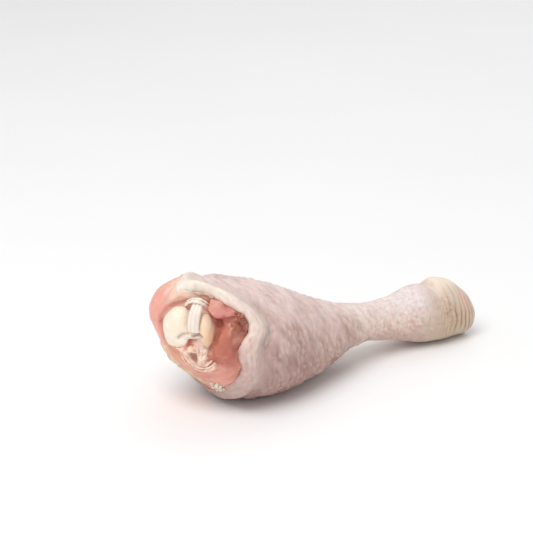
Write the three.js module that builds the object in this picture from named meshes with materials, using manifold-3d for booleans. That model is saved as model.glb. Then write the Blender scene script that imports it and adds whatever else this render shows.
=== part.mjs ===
// A raw chicken drumstick, lying on its side with the ankle towards +X and the cut knee towards -X.
// It is seven solids: the skin, a sleeve with a rolled lip at the knee; the meat, which bulges out of
// that lip in three muscle heads; the leg bone, with its gristle knuckles showing at both ends; the
// white knee ligament between the knuckles; a loop of torn joint capsule; a pad of fat at the top of
// the cut; and a strip of fat down its far edge. Millimetres, +Z up, origin on the table under the
// middle of the drumstick.
//
// Places are given in the leg's own terms. "along" runs down the leg from the knee to the ankle.
// "turn" is the angle round the leg in degrees: 0 on top, 90 on the far side (+Y), -90 on the near side.
import * as THREE from "three";
import { mergeVertices } from "three/addons/utils/BufferGeometryUtils.js";
import Module from "manifold-3d";

const wasm = await Module();
wasm.setup();

// ---- Driving dimensions, millimetres ----

// Sections down the leg: half the height, height of the middle above the table, and width over height.
// Where a section reaches below the table it is pressed flat, which gives the belly and the ankle
// knuckle their resting spots.
const SECTIONS = [
  { along: -4, half: 13.7, middle: 36.0, width: 1.05 },
  { along: 3, half: 19.5, middle: 32.6, width: 1.05 },
  { along: 11, half: 23.0, middle: 27.6, width: 1.06 },
  { along: 24, half: 23.6, middle: 23.5, width: 1.08 },
  { along: 43, half: 20.4, middle: 19.6, width: 1.08 },
  { along: 62, half: 14.1, middle: 16.5, width: 1.06 },
  { along: 82, half: 8.1, middle: 15.5, width: 1.03 },
  { along: 98, half: 8.6, middle: 13.8, width: 1.0 },
  { along: 117, half: 12.2, middle: 11.9, width: 1.0 },
  { along: 129, half: 11.2, middle: 10.6, width: 1.02 },
  { along: 137, half: 9.2, middle: 9.0, width: 1.04 },
  { along: 139, half: 7.6, middle: 8.8, width: 1.04 },
];

// Where the skin ends. At the knee it reaches forward in a tongue on top, and stands back in a notch
// on the near side and another underneath. Each has its turn, its reach, and its spread in degrees.
const KNEE_END = 8.2;
const ANKLE_END = 138;
const TONGUE = { turn: -4, reach: -10.7, spread: 17 };
const SIDE_NOTCH = { turn: -56, reach: 7.2, spread: 21 };
const NEAR_SET_BACK = { turn: -108, reach: 4, spread: 32 };
const UNDER_NOTCH = { turn: 180, reach: 3.6, spread: 27 };
const KNEE_RUFFLES = [
  { size: 0.5, waves: 5, shift: 40 },
  { size: 0.3, waves: 9, shift: 0 },
];
const ANKLE_SLANT = 0.8;
const ANKLE_RUFFLE = 0.4;

// The skin is thick at its lip, and thins out over a length behind it. The lip stands a little proud,
// with a shallow valley behind it.
const SKIN_THICKNESS = 1.5;
const LIP_THICKNESS = 2.7;
const LIP_LENGTH = 10;
const LIP_CREST = { behind: 2.5, rise: 0.8, spread: 2.4 };
const LIP_VALLEY = { behind: 7.5, rise: -0.7, spread: 2.6 };

// The hard bump over the hock joint, on top of the ankle knuckle.
const HOCK = { along: 125, rise: 2.8, length: 6, spread: 34 };

// The clear space between neighbouring pieces, and how far the meat sinks behind the skin's lip.
const GAP = 0.3;
const MEAT_SINK = { depth: 0.8, length: 3 };

// The cut at the knee faces a little towards the near side. These are the tip of the meat there, and
// how far along its shoulder lies: furthest out on the far side, and set back on the near side. The
// cut is full where its shoulder is furthest out, and flat on the other side.
const CUT_YAW = 25;
const KNEE_POLE = { along: -6.5, y: 5, z: 35 };
const SHOULDER = { middle: 5.2, swing: 8.5, furthestTurn: 122, inset: 1 };
const FULLNESS = { middle: 2.6, swing: 0.8 };
const MEAT_END = 135;

// The muscle heads that bulge from the cut, as ellipsoids: centre, half sizes, and lean about +X.
const MUSCLES = [
  { centre: [2.2, 11.6, 36.5], half: [8.5, 9.4, 13], lean: 8 },
  { centre: [12, -12.6, 43.2], half: [7, 6.4, 5], lean: 0 },
  { centre: [13.2, -14.8, 27.6], half: [7.5, 7, 12.5], lean: -8 },
];

// The space inside the skin reaches this far forward of the skin's edge, to a pole at this height.
const CAVITY_REACH = 32;
const PAD_REACH = 0.5;
const CAVITY_POLE = { along: 8, z: 12 };

// The pads of fat: one under the skin at the top of the cut, and a strip down its far edge.
const FAT_PAD = { centre: [7, -4.5, 48], half: [14, 14, 6], lean: 14 };
const FAT_STRIP = { centre: [1.4, 7.4, 17.4], half: [2.6, 3, 8.5], lean: -42 };

// The bone, from the middle of its knee head to the middle of the ankle knuckle.
const BONE_SECTIONS = [
  { along: 2.5, y: -6.5, z: 33.5, radius: 7.5 },
  { along: 15, y: -4.6, z: 28.5, radius: 5.2 },
  { along: 40, y: -2.2, z: 20.5, radius: 3.8 },
  { along: 82, y: -0.4, z: 15.4, radius: 3.3 },
  { along: 118, y: 0, z: 11.8, radius: 4.4 },
  { along: 132, y: 0, z: 9.8, radius: 5.6 },
];

// Its head and gristle knuckles, as ellipsoids.
const KNEE_KNUCKLES = [
  { centre: [3.6, -6.2, 34.4], half: [4.8, 7.4, 7.4], lean: 0 },
  { centre: [-2.2, -1.3, 34.2], half: [4.8, 5.9, 8.2], lean: 14 },
  { centre: [3.5, -11.8, 35.4], half: [4.1, 2.6, 6.8], lean: -6 },
];
const ANKLE_KNUCKLES = [
  { centre: [133.4, 3.4, 9.6], half: [2.8, 3.2, 5.2], lean: 0 },
  { centre: [133.4, -3.4, 9.6], half: [2.8, 3.2, 5.2], lean: 0 },
];

const LIGAMENT = {
  centre: [6.4, -7.4, 37.4],
  radius: 10.6,
  width: 4.5,
  thickness: 2.6,
  rounding: 0.7,
  up: 55,
  down: 32,
};
const CAPSULE = { centre: [-0.4, -10.4, 22.8], radius: 3.3, tube: 1.5, stretch: 1.25, lean: 10 };

// ---- Mesh detail ----
const ROUND = 38;
const SKIN_RINGS = 22;
const SLEEVE_RINGS = 11;
const CAP_RINGS = 6;
const SIDE_RINGS = 2;
const BONE_ROUND = 14;
const BONE_STEPS = 9;
const ARC_STEPS = 9;
const BEVEL_STEPS = 2;
const TUBE_ROUND = 8;
const RING_STEPS = 16;

const COLOURS = {
  skin: 0xe3c5bb,
  meat: 0xd9897a,
  leg_bone: 0xf3e6d2,
  knee_ligament: 0xefe9dc,
  joint_capsule: 0xe9c3b0,
  fat_layer: 0xf3e6d0,
  fat_strip: 0xe6c5a8,
};

// ---- Small helpers ----

const radians = THREE.MathUtils.degToRad;
const mix = THREE.MathUtils.lerp;
const smooth = THREE.MathUtils.smoothstep;
const hump = (x, middle, width) => Math.exp(-(((x - middle) / width) ** 2));

// The signed angle from one turn to another, between -180 and 180.
const turnFrom = (turn, middle) => THREE.MathUtils.euclideanModulo(turn - middle + 180, 360) - 180;

// A smooth curve through one value of the stations, with each slope averaged from its two sides.
function curveThrough(stations, place, value) {
  const x = stations.map((s) => s[place]);
  const y = stations.map((s) => s[value]);
  const rise = x.slice(1).map((right, i) => (y[i + 1] - y[i]) / (right - x[i]));
  const slope = x.map((_, i) => {
    if (i === 0) return rise[0];
    if (i === x.length - 1) return rise[i - 1];
    const before = x[i] - x[i - 1];
    const after = x[i + 1] - x[i];
    return (rise[i - 1] * after + rise[i] * before) / (before + after);
  });
  return (at) => {
    let i = 0;
    while (i < x.length - 2 && at > x[i + 1]) i += 1;
    const step = x[i + 1] - x[i];
    const t = THREE.MathUtils.clamp((at - x[i]) / step, 0, 1);
    const ends = y[i] * (1 + 2 * t) * (1 - t) ** 2 + y[i + 1] * t * t * (3 - 2 * t);
    return ends + step * (slope[i] * t * (1 - t) ** 2 - slope[i + 1] * t * t * (1 - t));
  };
}

const halfHeight = curveThrough(SECTIONS, "along", "half");
const middleHeight = curveThrough(SECTIONS, "along", "middle");
const widthRatio = curveThrough(SECTIONS, "along", "width");
const boneY = curveThrough(BONE_SECTIONS, "along", "y");
const boneZ = curveThrough(BONE_SECTIONS, "along", "z");
const boneRadius = curveThrough(BONE_SECTIONS, "along", "radius");

// A lathe solid whose vertices are then moved: place gets each one's radius, height and turn.
function turned(profile, segments, place) {
  const geometry = new THREE.LatheGeometry(profile, segments);
  const position = geometry.attributes.position;
  const vertex = new THREE.Vector3();
  for (let i = 0; i < position.count; i += 1) {
    vertex.fromBufferAttribute(position, i);
    const turn = THREE.MathUtils.radToDeg(Math.atan2(vertex.z, vertex.x));
    vertex.copy(place(Math.hypot(vertex.x, vertex.z), vertex.y, turn));
    position.setXYZ(i, vertex.x, vertex.y, vertex.z);
  }
  return geometry;
}

function solidOf(geometry) {
  const bare = geometry.clone();
  bare.deleteAttribute("normal");
  bare.deleteAttribute("uv");
  const merged = mergeVertices(bare, 1e-3);
  const triVerts = new Uint32Array(merged.index.array);
  return new wasm.Manifold(
    new wasm.Mesh({ numProp: 3, vertProperties: merged.attributes.position.array, triVerts }),
  );
}

function geometryOf(solid) {
  const { vertProperties, triVerts } = solid.getMesh();
  const geometry = new THREE.BufferGeometry();
  geometry.setAttribute("position", new THREE.BufferAttribute(vertProperties, 3));
  geometry.setIndex(new THREE.BufferAttribute(triVerts, 1));
  return geometry;
}

const joined = (solids) => solids.reduce((whole, solid) => whole.add(solid));

// The biggest of a solid's bodies, without the splinters that a cut can leave beside it.
const mainBody = (solid) => solid.decompose().sort((a, b) => b.volume() - a.volume())[0];

// An ellipsoid, turned to face the way the cut does, and made bigger all round by grow.
function ellipsoid({ centre, half, lean }, grow = 0, yaw = CUT_YAW) {
  const geometry = new THREE.SphereGeometry(1, BONE_ROUND, BONE_STEPS);
  geometry.scale(...half.map((size) => size + grow));
  geometry.rotateX(radians(lean));
  geometry.rotateZ(radians(yaw));
  geometry.translate(...centre);
  return solidOf(geometry);
}

// ---- The leg's outer surface ----

function kneeEdge(turn) {
  const reaches = [TONGUE, SIDE_NOTCH, NEAR_SET_BACK, UNDER_NOTCH].map(
    (place) => place.reach * hump(turnFrom(turn, place.turn), 0, place.spread),
  );
  const ruffles = KNEE_RUFFLES.map(
    ({ size, waves, shift }) => size * Math.sin(radians(waves * turn + shift)),
  );
  return [...reaches, ...ruffles].reduce((sum, part) => sum + part, KNEE_END);
}

const ankleEdge = (turn) =>
  ANKLE_END - ANKLE_SLANT * Math.cos(radians(turn)) + ANKLE_RUFFLE * Math.sin(radians(3 * turn));

const skinThickness = (fromEdge) =>
  mix(LIP_THICKNESS, SKIN_THICKNESS, smooth(fromEdge, 0, LIP_LENGTH));

const lipRise = (fromEdge) =>
  LIP_CREST.rise * hump(fromEdge, LIP_CREST.behind, LIP_CREST.spread) +
  LIP_VALLEY.rise * hump(fromEdge, LIP_VALLEY.behind, LIP_VALLEY.spread);

const hockBump = (along, turn) =>
  HOCK.rise * hump(along, HOCK.along, HOCK.length) * hump(turn, 0, HOCK.spread);

// A point at that depth under the leg's outer surface.
function legPoint(along, turn, depth) {
  const rise = lipRise(along - kneeEdge(turn)) + hockBump(along, turn) - depth;
  const half = halfHeight(along);
  const y = (half * widthRatio(along) + rise) * Math.sin(radians(turn));
  const z = middleHeight(along) + (half + rise) * Math.cos(radians(turn));
  return new THREE.Vector3(along, y, Math.max(z, depth));
}

// ---- The pieces ----

// Places for the rings of a sleeve, as shares of the way from the knee edge to the ankle edge. They
// lie closer together at the knee. The first and last stop short of the edges, which are rounded.
const ROUNDING = 0.004;
const ringShares = (count) =>
  Array.from({ length: count + 1 }, (_, i) => mix(ROUNDING, 1 - ROUNDING, (i / count) ** 1.15));


// The rings follow the skin's two edges, and even out between them.
const alongAt = (share, turn) =>
  mix(KNEE_END, ANKLE_END, share) +
  (kneeEdge(turn) - KNEE_END) * (1 - share) ** 3 +
  (ankleEdge(turn) - ANKLE_END) * share ** 3;

// The profile's radius is 2 on the outside of the skin and 1 on its inside.
function skinGeometry() {
  const inside = ringShares(SLEEVE_RINGS).map((share) => new THREE.Vector2(1, share));
  const outside = ringShares(SKIN_RINGS).map((share) => new THREE.Vector2(2, share));
  const lip = new THREE.Vector2(1.5, 0);
  const profile = [inside[0].clone(), lip, ...outside, new THREE.Vector2(1.5, 1), ...inside.reverse()];
  return turned(profile, ROUND, (radius, share, turn) => {
    const along = alongAt(share, turn);
    return legPoint(along, turn, (2 - radius) * skinThickness(along - kneeEdge(turn)));
  });
}

// Just under the skin, and sinking away from the lip where the meat comes out of it.
function meatPoint(share, turn) {
  const along = alongAt(share, turn);
  const fromEdge = along - kneeEdge(turn);
  const sink = MEAT_SINK.depth * hump(fromEdge, 0, MEAT_SINK.length);
  return legPoint(along, turn, skinThickness(fromEdge) + GAP + sink);
}

// Where the cut face meets the bare side of the meat. It is never behind the skin's edge.
function shoulderPoint(turn) {
  const furthest = Math.cos(radians(turn - SHOULDER.furthestTurn));
  const along = SHOULDER.middle - SHOULDER.swing * furthest;
  const edge = meatPoint(ROUNDING, turn);
  if (along > edge.x - SHOULDER.inset) return edge;
  return legPoint(along, turn, SHOULDER.inset + lipRise(along - kneeEdge(turn)));
}

// The cut face swells from its pole to its shoulder. It is full on the far side and slopes back,
// almost flat, on the near side.
function kneeFacePoint(radius, turn) {
  const fullness = FULLNESS.middle + FULLNESS.swing * Math.cos(radians(turn - SHOULDER.furthestTurn));
  const rim = shoulderPoint(turn);
  return new THREE.Vector3(
    mix(KNEE_POLE.along, rim.x, radius ** fullness),
    mix(KNEE_POLE.y, rim.y, radius),
    mix(KNEE_POLE.z, rim.z, radius),
  );
}

// Heights from -2 to -1 are the cut face, and from -1 to 0 the bare side. From 0 to 1 they are shares
// of the length inside the skin.
function meatGeometry() {
  const profile = [];
  for (let i = 0; i < CAP_RINGS; i += 1) {
    const share = i / CAP_RINGS;
    profile.push(new THREE.Vector2(Math.sin((share * Math.PI) / 2), share - 2));
  }
  for (let i = 0; i < SIDE_RINGS; i += 1) profile.push(new THREE.Vector2(1, i / SIDE_RINGS - 1));
  const sleeve = ringShares(SLEEVE_RINGS).map((share) => new THREE.Vector2(1, share));
  profile.push(...sleeve, new THREE.Vector2(0, 1));
  return turned(profile, ROUND, (radius, height, turn) => {
    if (height < -1) return kneeFacePoint(radius, turn);
    if (height < 0) return shoulderPoint(turn).lerp(meatPoint(ROUNDING, turn), height + 1);
    if (radius === 0) return new THREE.Vector3(MEAT_END, 0, middleHeight(MEAT_END));
    return meatPoint(height, turn);
  });
}

// The space inside the skin, reaching forward past the skin's edge.
function cavityGeometry(reach) {
  const sleeve = ringShares(SLEEVE_RINGS).map((share) => new THREE.Vector2(1, share));
  const profile = [new THREE.Vector2(0, -1), new THREE.Vector2(1, -1), ...sleeve, new THREE.Vector2(0, 1)];
  return turned(profile, ROUND, (radius, height, turn) => {
    if (radius === 0) {
      const along = height < 0 ? CAVITY_POLE.along - reach : MEAT_END;
      return new THREE.Vector3(along, 0, CAVITY_POLE.z);
    }
    const rim = meatPoint(Math.max(height, ROUNDING), turn);
    return height < 0 ? rim.setX(rim.x - reach) : rim;
  });
}

// The shaft, swelling to both ends, with its head and knuckles.
function boneSolid(grow = 0) {
  const [start, end] = [BONE_SECTIONS[0].along, BONE_SECTIONS.at(-1).along];
  const profile = [new THREE.Vector2(0, start - grow)];
  for (let i = 0; i <= BONE_STEPS; i += 1) {
    const along = mix(start, end, i / BONE_STEPS);
    profile.push(new THREE.Vector2(boneRadius(along) + grow, along));
  }
  profile.push(new THREE.Vector2(0, end + grow));
  const shaft = turned(profile, BONE_ROUND, (radius, along, turn) => {
    const y = boneY(along) + radius * Math.sin(radians(turn));
    const z = boneZ(along) + radius * Math.cos(radians(turn));
    return new THREE.Vector3(along, y, z);
  });
  const knee = KNEE_KNUCKLES.map((knuckle) => ellipsoid(knuckle, grow));
  const ankle = ANKLE_KNUCKLES.map((knuckle) => ellipsoid(knuckle, grow, 0));
  return joined([solidOf(shaft), ...knee, ...ankle]);
}

// A flat band, bent in an arc, that climbs out of the groove between the knee knuckles and over them.
function ligamentSolid(grow = 0) {
  const { centre, radius, width, thickness, rounding, up, down } = LIGAMENT;
  const [start, end] = [radians(180 - up), radians(180 + down)];
  const outer = radius - rounding + grow / 2;
  const inner = radius - thickness + rounding - grow / 2;
  const arc = new THREE.Shape().absarc(0, 0, outer, start, end).absarc(0, 0, inner, end, start, true);
  const geometry = new THREE.ExtrudeGeometry(arc, {
    depth: width - 2 * rounding + grow,
    bevelThickness: rounding + grow / 2,
    bevelSize: rounding + grow / 2,
    bevelSegments: BEVEL_STEPS,
    curveSegments: ARC_STEPS,
  });
  geometry.translate(0, 0, rounding - (width + grow) / 2);
  geometry.rotateX(radians(90));
  geometry.rotateZ(radians(CUT_YAW));
  geometry.translate(...centre);
  return solidOf(geometry);
}

// A ring of torn capsule that hangs under the knuckles, flat against the cut.
function capsuleSolid(grow = 0) {
  const geometry = new THREE.TorusGeometry(CAPSULE.radius, CAPSULE.tube + grow, TUBE_ROUND, RING_STEPS);
  geometry.scale(1, CAPSULE.stretch, 1);
  geometry.rotateY(radians(-90));
  geometry.rotateX(radians(CAPSULE.lean));
  geometry.rotateZ(radians(CUT_YAW));
  geometry.translate(...CAPSULE.centre);
  return solidOf(geometry);
}

// ---- Fitting the pieces into each other ----

const room = solidOf(cavityGeometry(CAVITY_REACH));
const skin = solidOf(skinGeometry());
const bone = boneSolid();
const ligament = mainBody(ligamentSolid().subtract(boneSolid(GAP)));
const capsule = mainBody(capsuleSolid().subtract(boneSolid(GAP)).subtract(ligamentSolid(GAP)));
const pad = ellipsoid(FAT_PAD).intersect(solidOf(cavityGeometry(PAD_REACH)));
const clearOfSkin = pad.subtract(skin.translate([0, 0, -GAP])).subtract(skin.translate([-GAP, 0, 0]));
const fat = mainBody(clearOfSkin.subtract(ligamentSolid(GAP)).subtract(boneSolid(GAP)));
const strip = mainBody(ellipsoid(FAT_STRIP).intersect(room).subtract(capsuleSolid(GAP)));
const heads = MUSCLES.map((muscle) => ellipsoid(muscle).intersect(room));
const gristle = joined([boneSolid(GAP), ligamentSolid(GAP), capsuleSolid(GAP)]);
const fats = joined([ellipsoid(FAT_PAD, GAP), ellipsoid(FAT_STRIP, GAP)]);
const meat = mainBody(joined([solidOf(meatGeometry()), ...heads]).subtract(gristle).subtract(fats));

// A finish for each piece: wet meat, gristle and fat shine more than the skin does.
function piece(name, solid, roughness) {
  const material = new THREE.MeshStandardMaterial({ color: COLOURS[name], roughness, metalness: 0 });
  const mesh = new THREE.Mesh(geometryOf(solid), material);
  mesh.name = name;
  return mesh;
}

const drumstick = new THREE.Group();
drumstick.add(
  piece("skin", skin, 0.45),
  piece("meat", meat, 0.35),
  piece("leg_bone", bone, 0.3),
  piece("knee_ligament", ligament, 0.35),
  piece("joint_capsule", capsule, 0.4),
  piece("fat_layer", fat, 0.4),
  piece("fat_strip", strip, 0.4),
);

// The origin goes on the table, under the middle of the drumstick's box.
const box = new THREE.Box3().setFromObject(drumstick, true);
const middle = box.getCenter(new THREE.Vector3());
drumstick.children.forEach((mesh) => mesh.position.set(-middle.x, -middle.y, -box.min.z));

export default drumstick;
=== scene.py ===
"""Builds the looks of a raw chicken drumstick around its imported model."""

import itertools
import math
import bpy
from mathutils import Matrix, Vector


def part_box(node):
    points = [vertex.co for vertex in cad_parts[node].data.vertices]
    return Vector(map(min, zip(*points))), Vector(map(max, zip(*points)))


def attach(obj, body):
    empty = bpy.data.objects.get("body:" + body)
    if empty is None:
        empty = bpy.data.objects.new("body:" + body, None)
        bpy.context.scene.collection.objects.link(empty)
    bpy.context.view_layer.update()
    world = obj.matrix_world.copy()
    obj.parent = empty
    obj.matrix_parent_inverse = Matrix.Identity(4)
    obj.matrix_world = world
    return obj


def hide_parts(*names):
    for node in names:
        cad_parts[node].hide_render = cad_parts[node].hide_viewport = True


bl_info = {
    "name": "Raw Chicken Drumstick",
    "version": (1, 0, 0),
    "blender": (4, 5, 0),
    "location": "3D View > Sidebar > Drumstick",
    "description": "Builds the skin, meat, bone, gristle and fat of a raw chicken drumstick",
    "category": "Mesh",
}

import bpy
import numpy as np
from bpy.props import FloatProperty, FloatVectorProperty, PointerProperty
from mathutils import Vector
from mathutils.bvhtree import BVHTree

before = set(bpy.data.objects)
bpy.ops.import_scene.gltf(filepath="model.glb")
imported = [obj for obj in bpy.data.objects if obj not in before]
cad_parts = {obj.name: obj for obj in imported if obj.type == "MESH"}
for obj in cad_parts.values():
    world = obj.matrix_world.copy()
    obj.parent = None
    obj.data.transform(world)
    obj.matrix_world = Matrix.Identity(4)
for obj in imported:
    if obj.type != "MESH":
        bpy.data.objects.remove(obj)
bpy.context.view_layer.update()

# ---- The leg's own measure: millimetres along the leg from the knee, and degrees of turn round it,
# ---- with 0 on top, 90 on the far side and -90 on the near side.

# along, half height, middle height, width over height
SECTIONS = np.array([
    (-4, 13.7, 36.0, 1.05),
    (3, 19.5, 32.6, 1.05),
    (11, 23.0, 27.6, 1.06),
    (24, 23.6, 23.5, 1.08),
    (43, 20.4, 19.6, 1.08),
    (62, 14.1, 16.5, 1.06),
    (82, 8.1, 15.5, 1.03),
    (98, 8.6, 13.8, 1.0),
    (117, 12.2, 11.9, 1.0),
    (129, 11.2, 10.6, 1.02),
    (137, 9.2, 9.0, 1.04),
    (139, 7.6, 8.8, 1.04),
])
# Where along the leg the skin's two ends lie, and the furthest that the ankle end comes.
KNEE_END = 8.2
ANKLE_END = 138
ANKLE_TIP = 139.13
SKIN_THICKNESS = 1.5
# The middle of the cut face, as along, y and height.
KNEE_POLE = np.array([-6.5, 5.0, 35.0])
# The cut face's rim: where it lies on average, how far it leans from there, and at which turn it is
# furthest from the ankle.
SHOULDER_MIDDLE, SHOULDER_SWING, FURTHEST_TURN = 5.2, 8.5, 122

# The cut face's own directions: across it towards the near side, and straight out of it.
CUT_YAW = math.radians(25)
ACROSS = np.array([math.sin(CUT_YAW), -math.cos(CUT_YAW), 0.0])
OUTWARD = np.array([-math.cos(CUT_YAW), -math.sin(CUT_YAW), 0.0])
UP = np.array([0.0, 0.0, 1.0])

# Where the leg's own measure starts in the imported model, in millimetres.
SKIN_LOW, SKIN_HIGH = (np.array(corner) * 1000 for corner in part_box("skin"))
ORIGIN = np.array([SKIN_HIGH[0] - ANKLE_TIP, (SKIN_LOW[1] + SKIN_HIGH[1]) / 2, SKIN_LOW[2]])


# ---- Small helpers ----


def colour(code):
    """The linear colour of a six-digit hex code."""
    parts = [int(code[i : i + 2], 16) / 255 for i in (0, 2, 4)]
    return tuple(p / 12.92 if p <= 0.04045 else ((p + 0.055) / 1.055) ** 2.4 for p in parts)


def hump(x, middle, width):
    """1 at the middle, and less away from it."""
    return np.exp(-(((x - middle) / width) ** 2))


def ramp(x, start, end):
    """Rises smoothly from 0 at start to 1 at end."""
    t = np.clip((x - start) / (end - start), 0, 1)
    return t * t * (3 - 2 * t)


def turn_from(turn, middle):
    """Degrees of turn from the middle, from -180 to 180."""
    return (turn - middle + 180) % 360 - 180


def near_turn(turn, middle, width):
    """1 at that turn round the leg, and less away from it."""
    return hump(turn_from(turn, middle), 0, width)


def leg_spot(along, turn, middle, size):
    """1 at that place along and round the leg, and less away from it."""
    return hump(along, middle[0], size[0]) * near_turn(turn, middle[1], size[1])


def face_spot(t, z, middle, size):
    """1 at that place across and up the cut face, and less away from it."""
    return hump(t, middle[0], size[0]) * hump(z, middle[1], size[1])


def mix(a, b, share):
    return a + (b - a) * share


def blend_colours(base, layers):
    """Lays each (colour, share) over the base, one after the other."""
    result = np.broadcast_to(np.asarray(base, dtype=float), layers[0][1].shape + (3,)).copy()
    for paint, share in layers:
        result += (np.asarray(paint) - result) * np.clip(share, 0, 1)[..., None]
    return result


def noise(points, size, seed=0, stretch=(1, 1, 1)):
    """Soft lumps from about -1 to 1 at points in millimetres, with the distance between lumps."""
    at = np.asarray(points, dtype=float) / (np.array(stretch) * size) + 0.5 + 7.31 * seed
    cell = np.floor(at)
    part = at - cell
    cell = cell.astype(np.int64)
    ease = part**3 * (part * (part * 6 - 15) + 10)
    total = np.zeros(at.shape[:-1])
    for corner in itertools.product((0, 1), repeat=3):
        key = cell + np.array(corner)
        # A scrambled number for each cell corner, from which its slope's direction is read.
        code = key[..., 0] * 73856093 ^ key[..., 1] * 19349663 ^ key[..., 2] * 83492791
        code = ((code ^ (code >> 13)) * 1274126177) & 0x7FFFFFFF
        angle = (code & 1023) * (math.tau / 1024)
        rise = ((code >> 10) & 1023) / 511.5 - 1
        flat = np.sqrt(np.maximum(0, 1 - rise * rise))
        away = part - np.array(corner)
        level = np.cos(angle) * away[..., 0] + np.sin(angle) * away[..., 1]
        dot = flat * level + rise * away[..., 2]
        share = np.prod(np.where(corner, ease, 1 - ease), axis=-1)
        total += share * dot
    return total * 1.7


def curve_through(stations, column):
    """A smooth curve through a column of the stations, each slope averaged from its two sides."""
    x, y = stations[:, 0], stations[:, column]
    step = np.diff(x)
    rise = np.diff(y) / step
    inner = (rise[:-1] * step[1:] + rise[1:] * step[:-1]) / (step[:-1] + step[1:])
    slope = np.concatenate([[rise[0]], inner, [rise[-1]]])

    def value(at):
        at = np.asarray(at, dtype=float)
        i = np.clip(np.searchsorted(x, at, side="left") - 1, 0, len(x) - 2)
        t = np.clip((at - x[i]) / step[i], 0, 1)
        ends = y[i] * (1 + 2 * t) * (1 - t) ** 2 + y[i + 1] * t * t * (3 - 2 * t)
        return ends + step[i] * (slope[i] * t * (1 - t) ** 2 - slope[i + 1] * t * t * (1 - t))

    return value


half_height = curve_through(SECTIONS, 1)
middle_height = curve_through(SECTIONS, 2)
width_ratio = curve_through(SECTIONS, 3)


def leaned(points, lean):
    """Points shifted along the leg with their height, for a pattern that leans."""
    return points + (lean * (points[..., 2] - 24))[..., None] * np.array([1, 0, 0])


def round_points(turn, radius):
    """Points on a plain hoop, for noise that follows the turn."""
    angle = np.radians(turn)
    return np.stack([radius * np.sin(angle), radius * np.cos(angle), np.zeros_like(angle)], axis=-1)


def distance_from(places, corners):
    """The distance of each place from a line through the corners."""
    corners = np.array(corners, dtype=float)
    best = np.full(places.shape[:-1], np.inf)
    for start, end in zip(corners[:-1], corners[1:]):
        span = end - start
        share = np.clip((places - start) @ span / (span @ span), 0, 1)
        best = np.minimum(best, np.linalg.norm(places - start - share[..., None] * span, axis=-1))
    return best


def normals_of(rings, closed=False):
    """The outward direction at each point of a grid of rings."""
    if closed:
        onward = np.roll(rings, -1, axis=0) - np.roll(rings, 1, axis=0)
    else:
        onward = np.gradient(rings, axis=0)
    sideways = np.roll(rings, -1, axis=1) - np.roll(rings, 1, axis=1)
    normal = np.cross(onward, sideways)
    return normal / np.maximum(np.linalg.norm(normal, axis=-1, keepdims=True), 1e-9)


# ---- The leg's outer surface ----


def knee_edge(turn):
    """Where the skin ends at the knee: a tongue on top, between a notch on the near side and one
    underneath."""
    tongue = 10.7 * near_turn(turn, -4, 17)
    notch = 7.2 * near_turn(turn, -56, 21) + 3.6 * near_turn(turn, 180, 27)
    set_back = 4 * near_turn(turn, -108, 32)
    ruffle = 0.5 * np.sin(np.radians(5 * turn + 40)) + 0.3 * np.sin(np.radians(9 * turn))
    return KNEE_END - tongue + notch + set_back + ruffle


def ankle_edge(turn):
    """Where the skin ends at the ankle."""
    return ANKLE_END - 0.8 * np.cos(np.radians(turn)) + 0.4 * np.sin(np.radians(3 * turn))


def lip_thickness(turn):
    """The skin's edge is thickest on top and where it rolls on the near side, and thin beyond."""
    from_top = turn_from(turn, -8)
    top = hump(from_top, 0, np.where(from_top > 0, 19, 40))
    roll = near_turn(turn, -95, 42)
    return 1.7 + 1.3 * np.maximum(top, roll) - 0.7 * near_turn(turn, 26, 24)


def skin_thickness(from_edge, lip):
    """The skin thins from its edge, as thick as the lip there, to its wall."""
    return mix(lip, SKIN_THICKNESS, ramp(from_edge, 0, 10))


def lip_tuck(from_edge, turn):
    """How far the rolled edge on the near side and on top turns in towards the meat."""
    near = near_turn(turn, -98, 44)
    top = 0.8 * near_turn(turn, -30, 26)
    return -2.2 * (1 - ramp(from_edge, -1.5, 5.0)) * np.maximum(near, top)


def lip_rise(from_edge):
    """How far the edge stands out before the dip behind it."""
    return 0.8 * hump(from_edge, 2.5, 2.4) - 0.7 * hump(from_edge, 7.5, 2.6)


def hock_bump(along, turn):
    """How far the cap over the hock stands out."""
    cap = ramp(along, 118.6, 122.6) * (1 - ramp(along, 128.5, 137.5))
    return 3.0 * cap * near_turn(turn, 0, 34)


def soft_floor(height, rest=0.0):
    """Presses what is near the floor flat on it, with a small round where it leaves the floor."""
    above = height - rest
    return rest + (above + np.sqrt(above * above + 0.36)) / 2


def leg_point(along, turn, depth, rise=0.0):
    """The point that far under the leg's outer surface."""
    lift = lip_rise(along - knee_edge(turn)) + hock_bump(along, turn) - depth + rise
    half = half_height(along)
    angle = np.radians(turn)
    y = (half * width_ratio(along) + lift) * np.sin(angle)
    z = middle_height(along) + (half + lift) * np.cos(angle)
    along, y, z = np.broadcast_arrays(along, y, z)
    return np.stack([along, y, z], axis=-1)


# ---- Meshes ----


def in_metres(points):
    """Points of the leg's own measure in the scene."""
    return (np.asarray(points).reshape(-1, 3) + ORIGIN) / 1000


def point_values(mesh, kind):
    """The places ("co") or outward directions ("normal") of a mesh's points."""
    values = np.empty(len(mesh.vertices) * 3)
    mesh.vertices.foreach_get(kind, values)
    return values.reshape(-1, 3)


def leg_points_of(mesh):
    """The points of a mesh in the leg's own measure."""
    return point_values(mesh, "co") * 1000 - ORIGIN


def add_value(mesh, name, values):
    """Stores a number for each point."""
    attribute = mesh.attributes.new(name, "FLOAT", "POINT")
    attribute.data.foreach_set("value", np.asarray(values, dtype=float).ravel())


def add_tint(mesh, colours):
    """Stores a colour for each point."""
    flat = colours.reshape(-1, 3)
    attribute = mesh.attributes.new("tint", "FLOAT_COLOR", "POINT")
    attribute.data.foreach_set("color", np.column_stack([flat, np.ones(len(flat))]).ravel())


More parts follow.
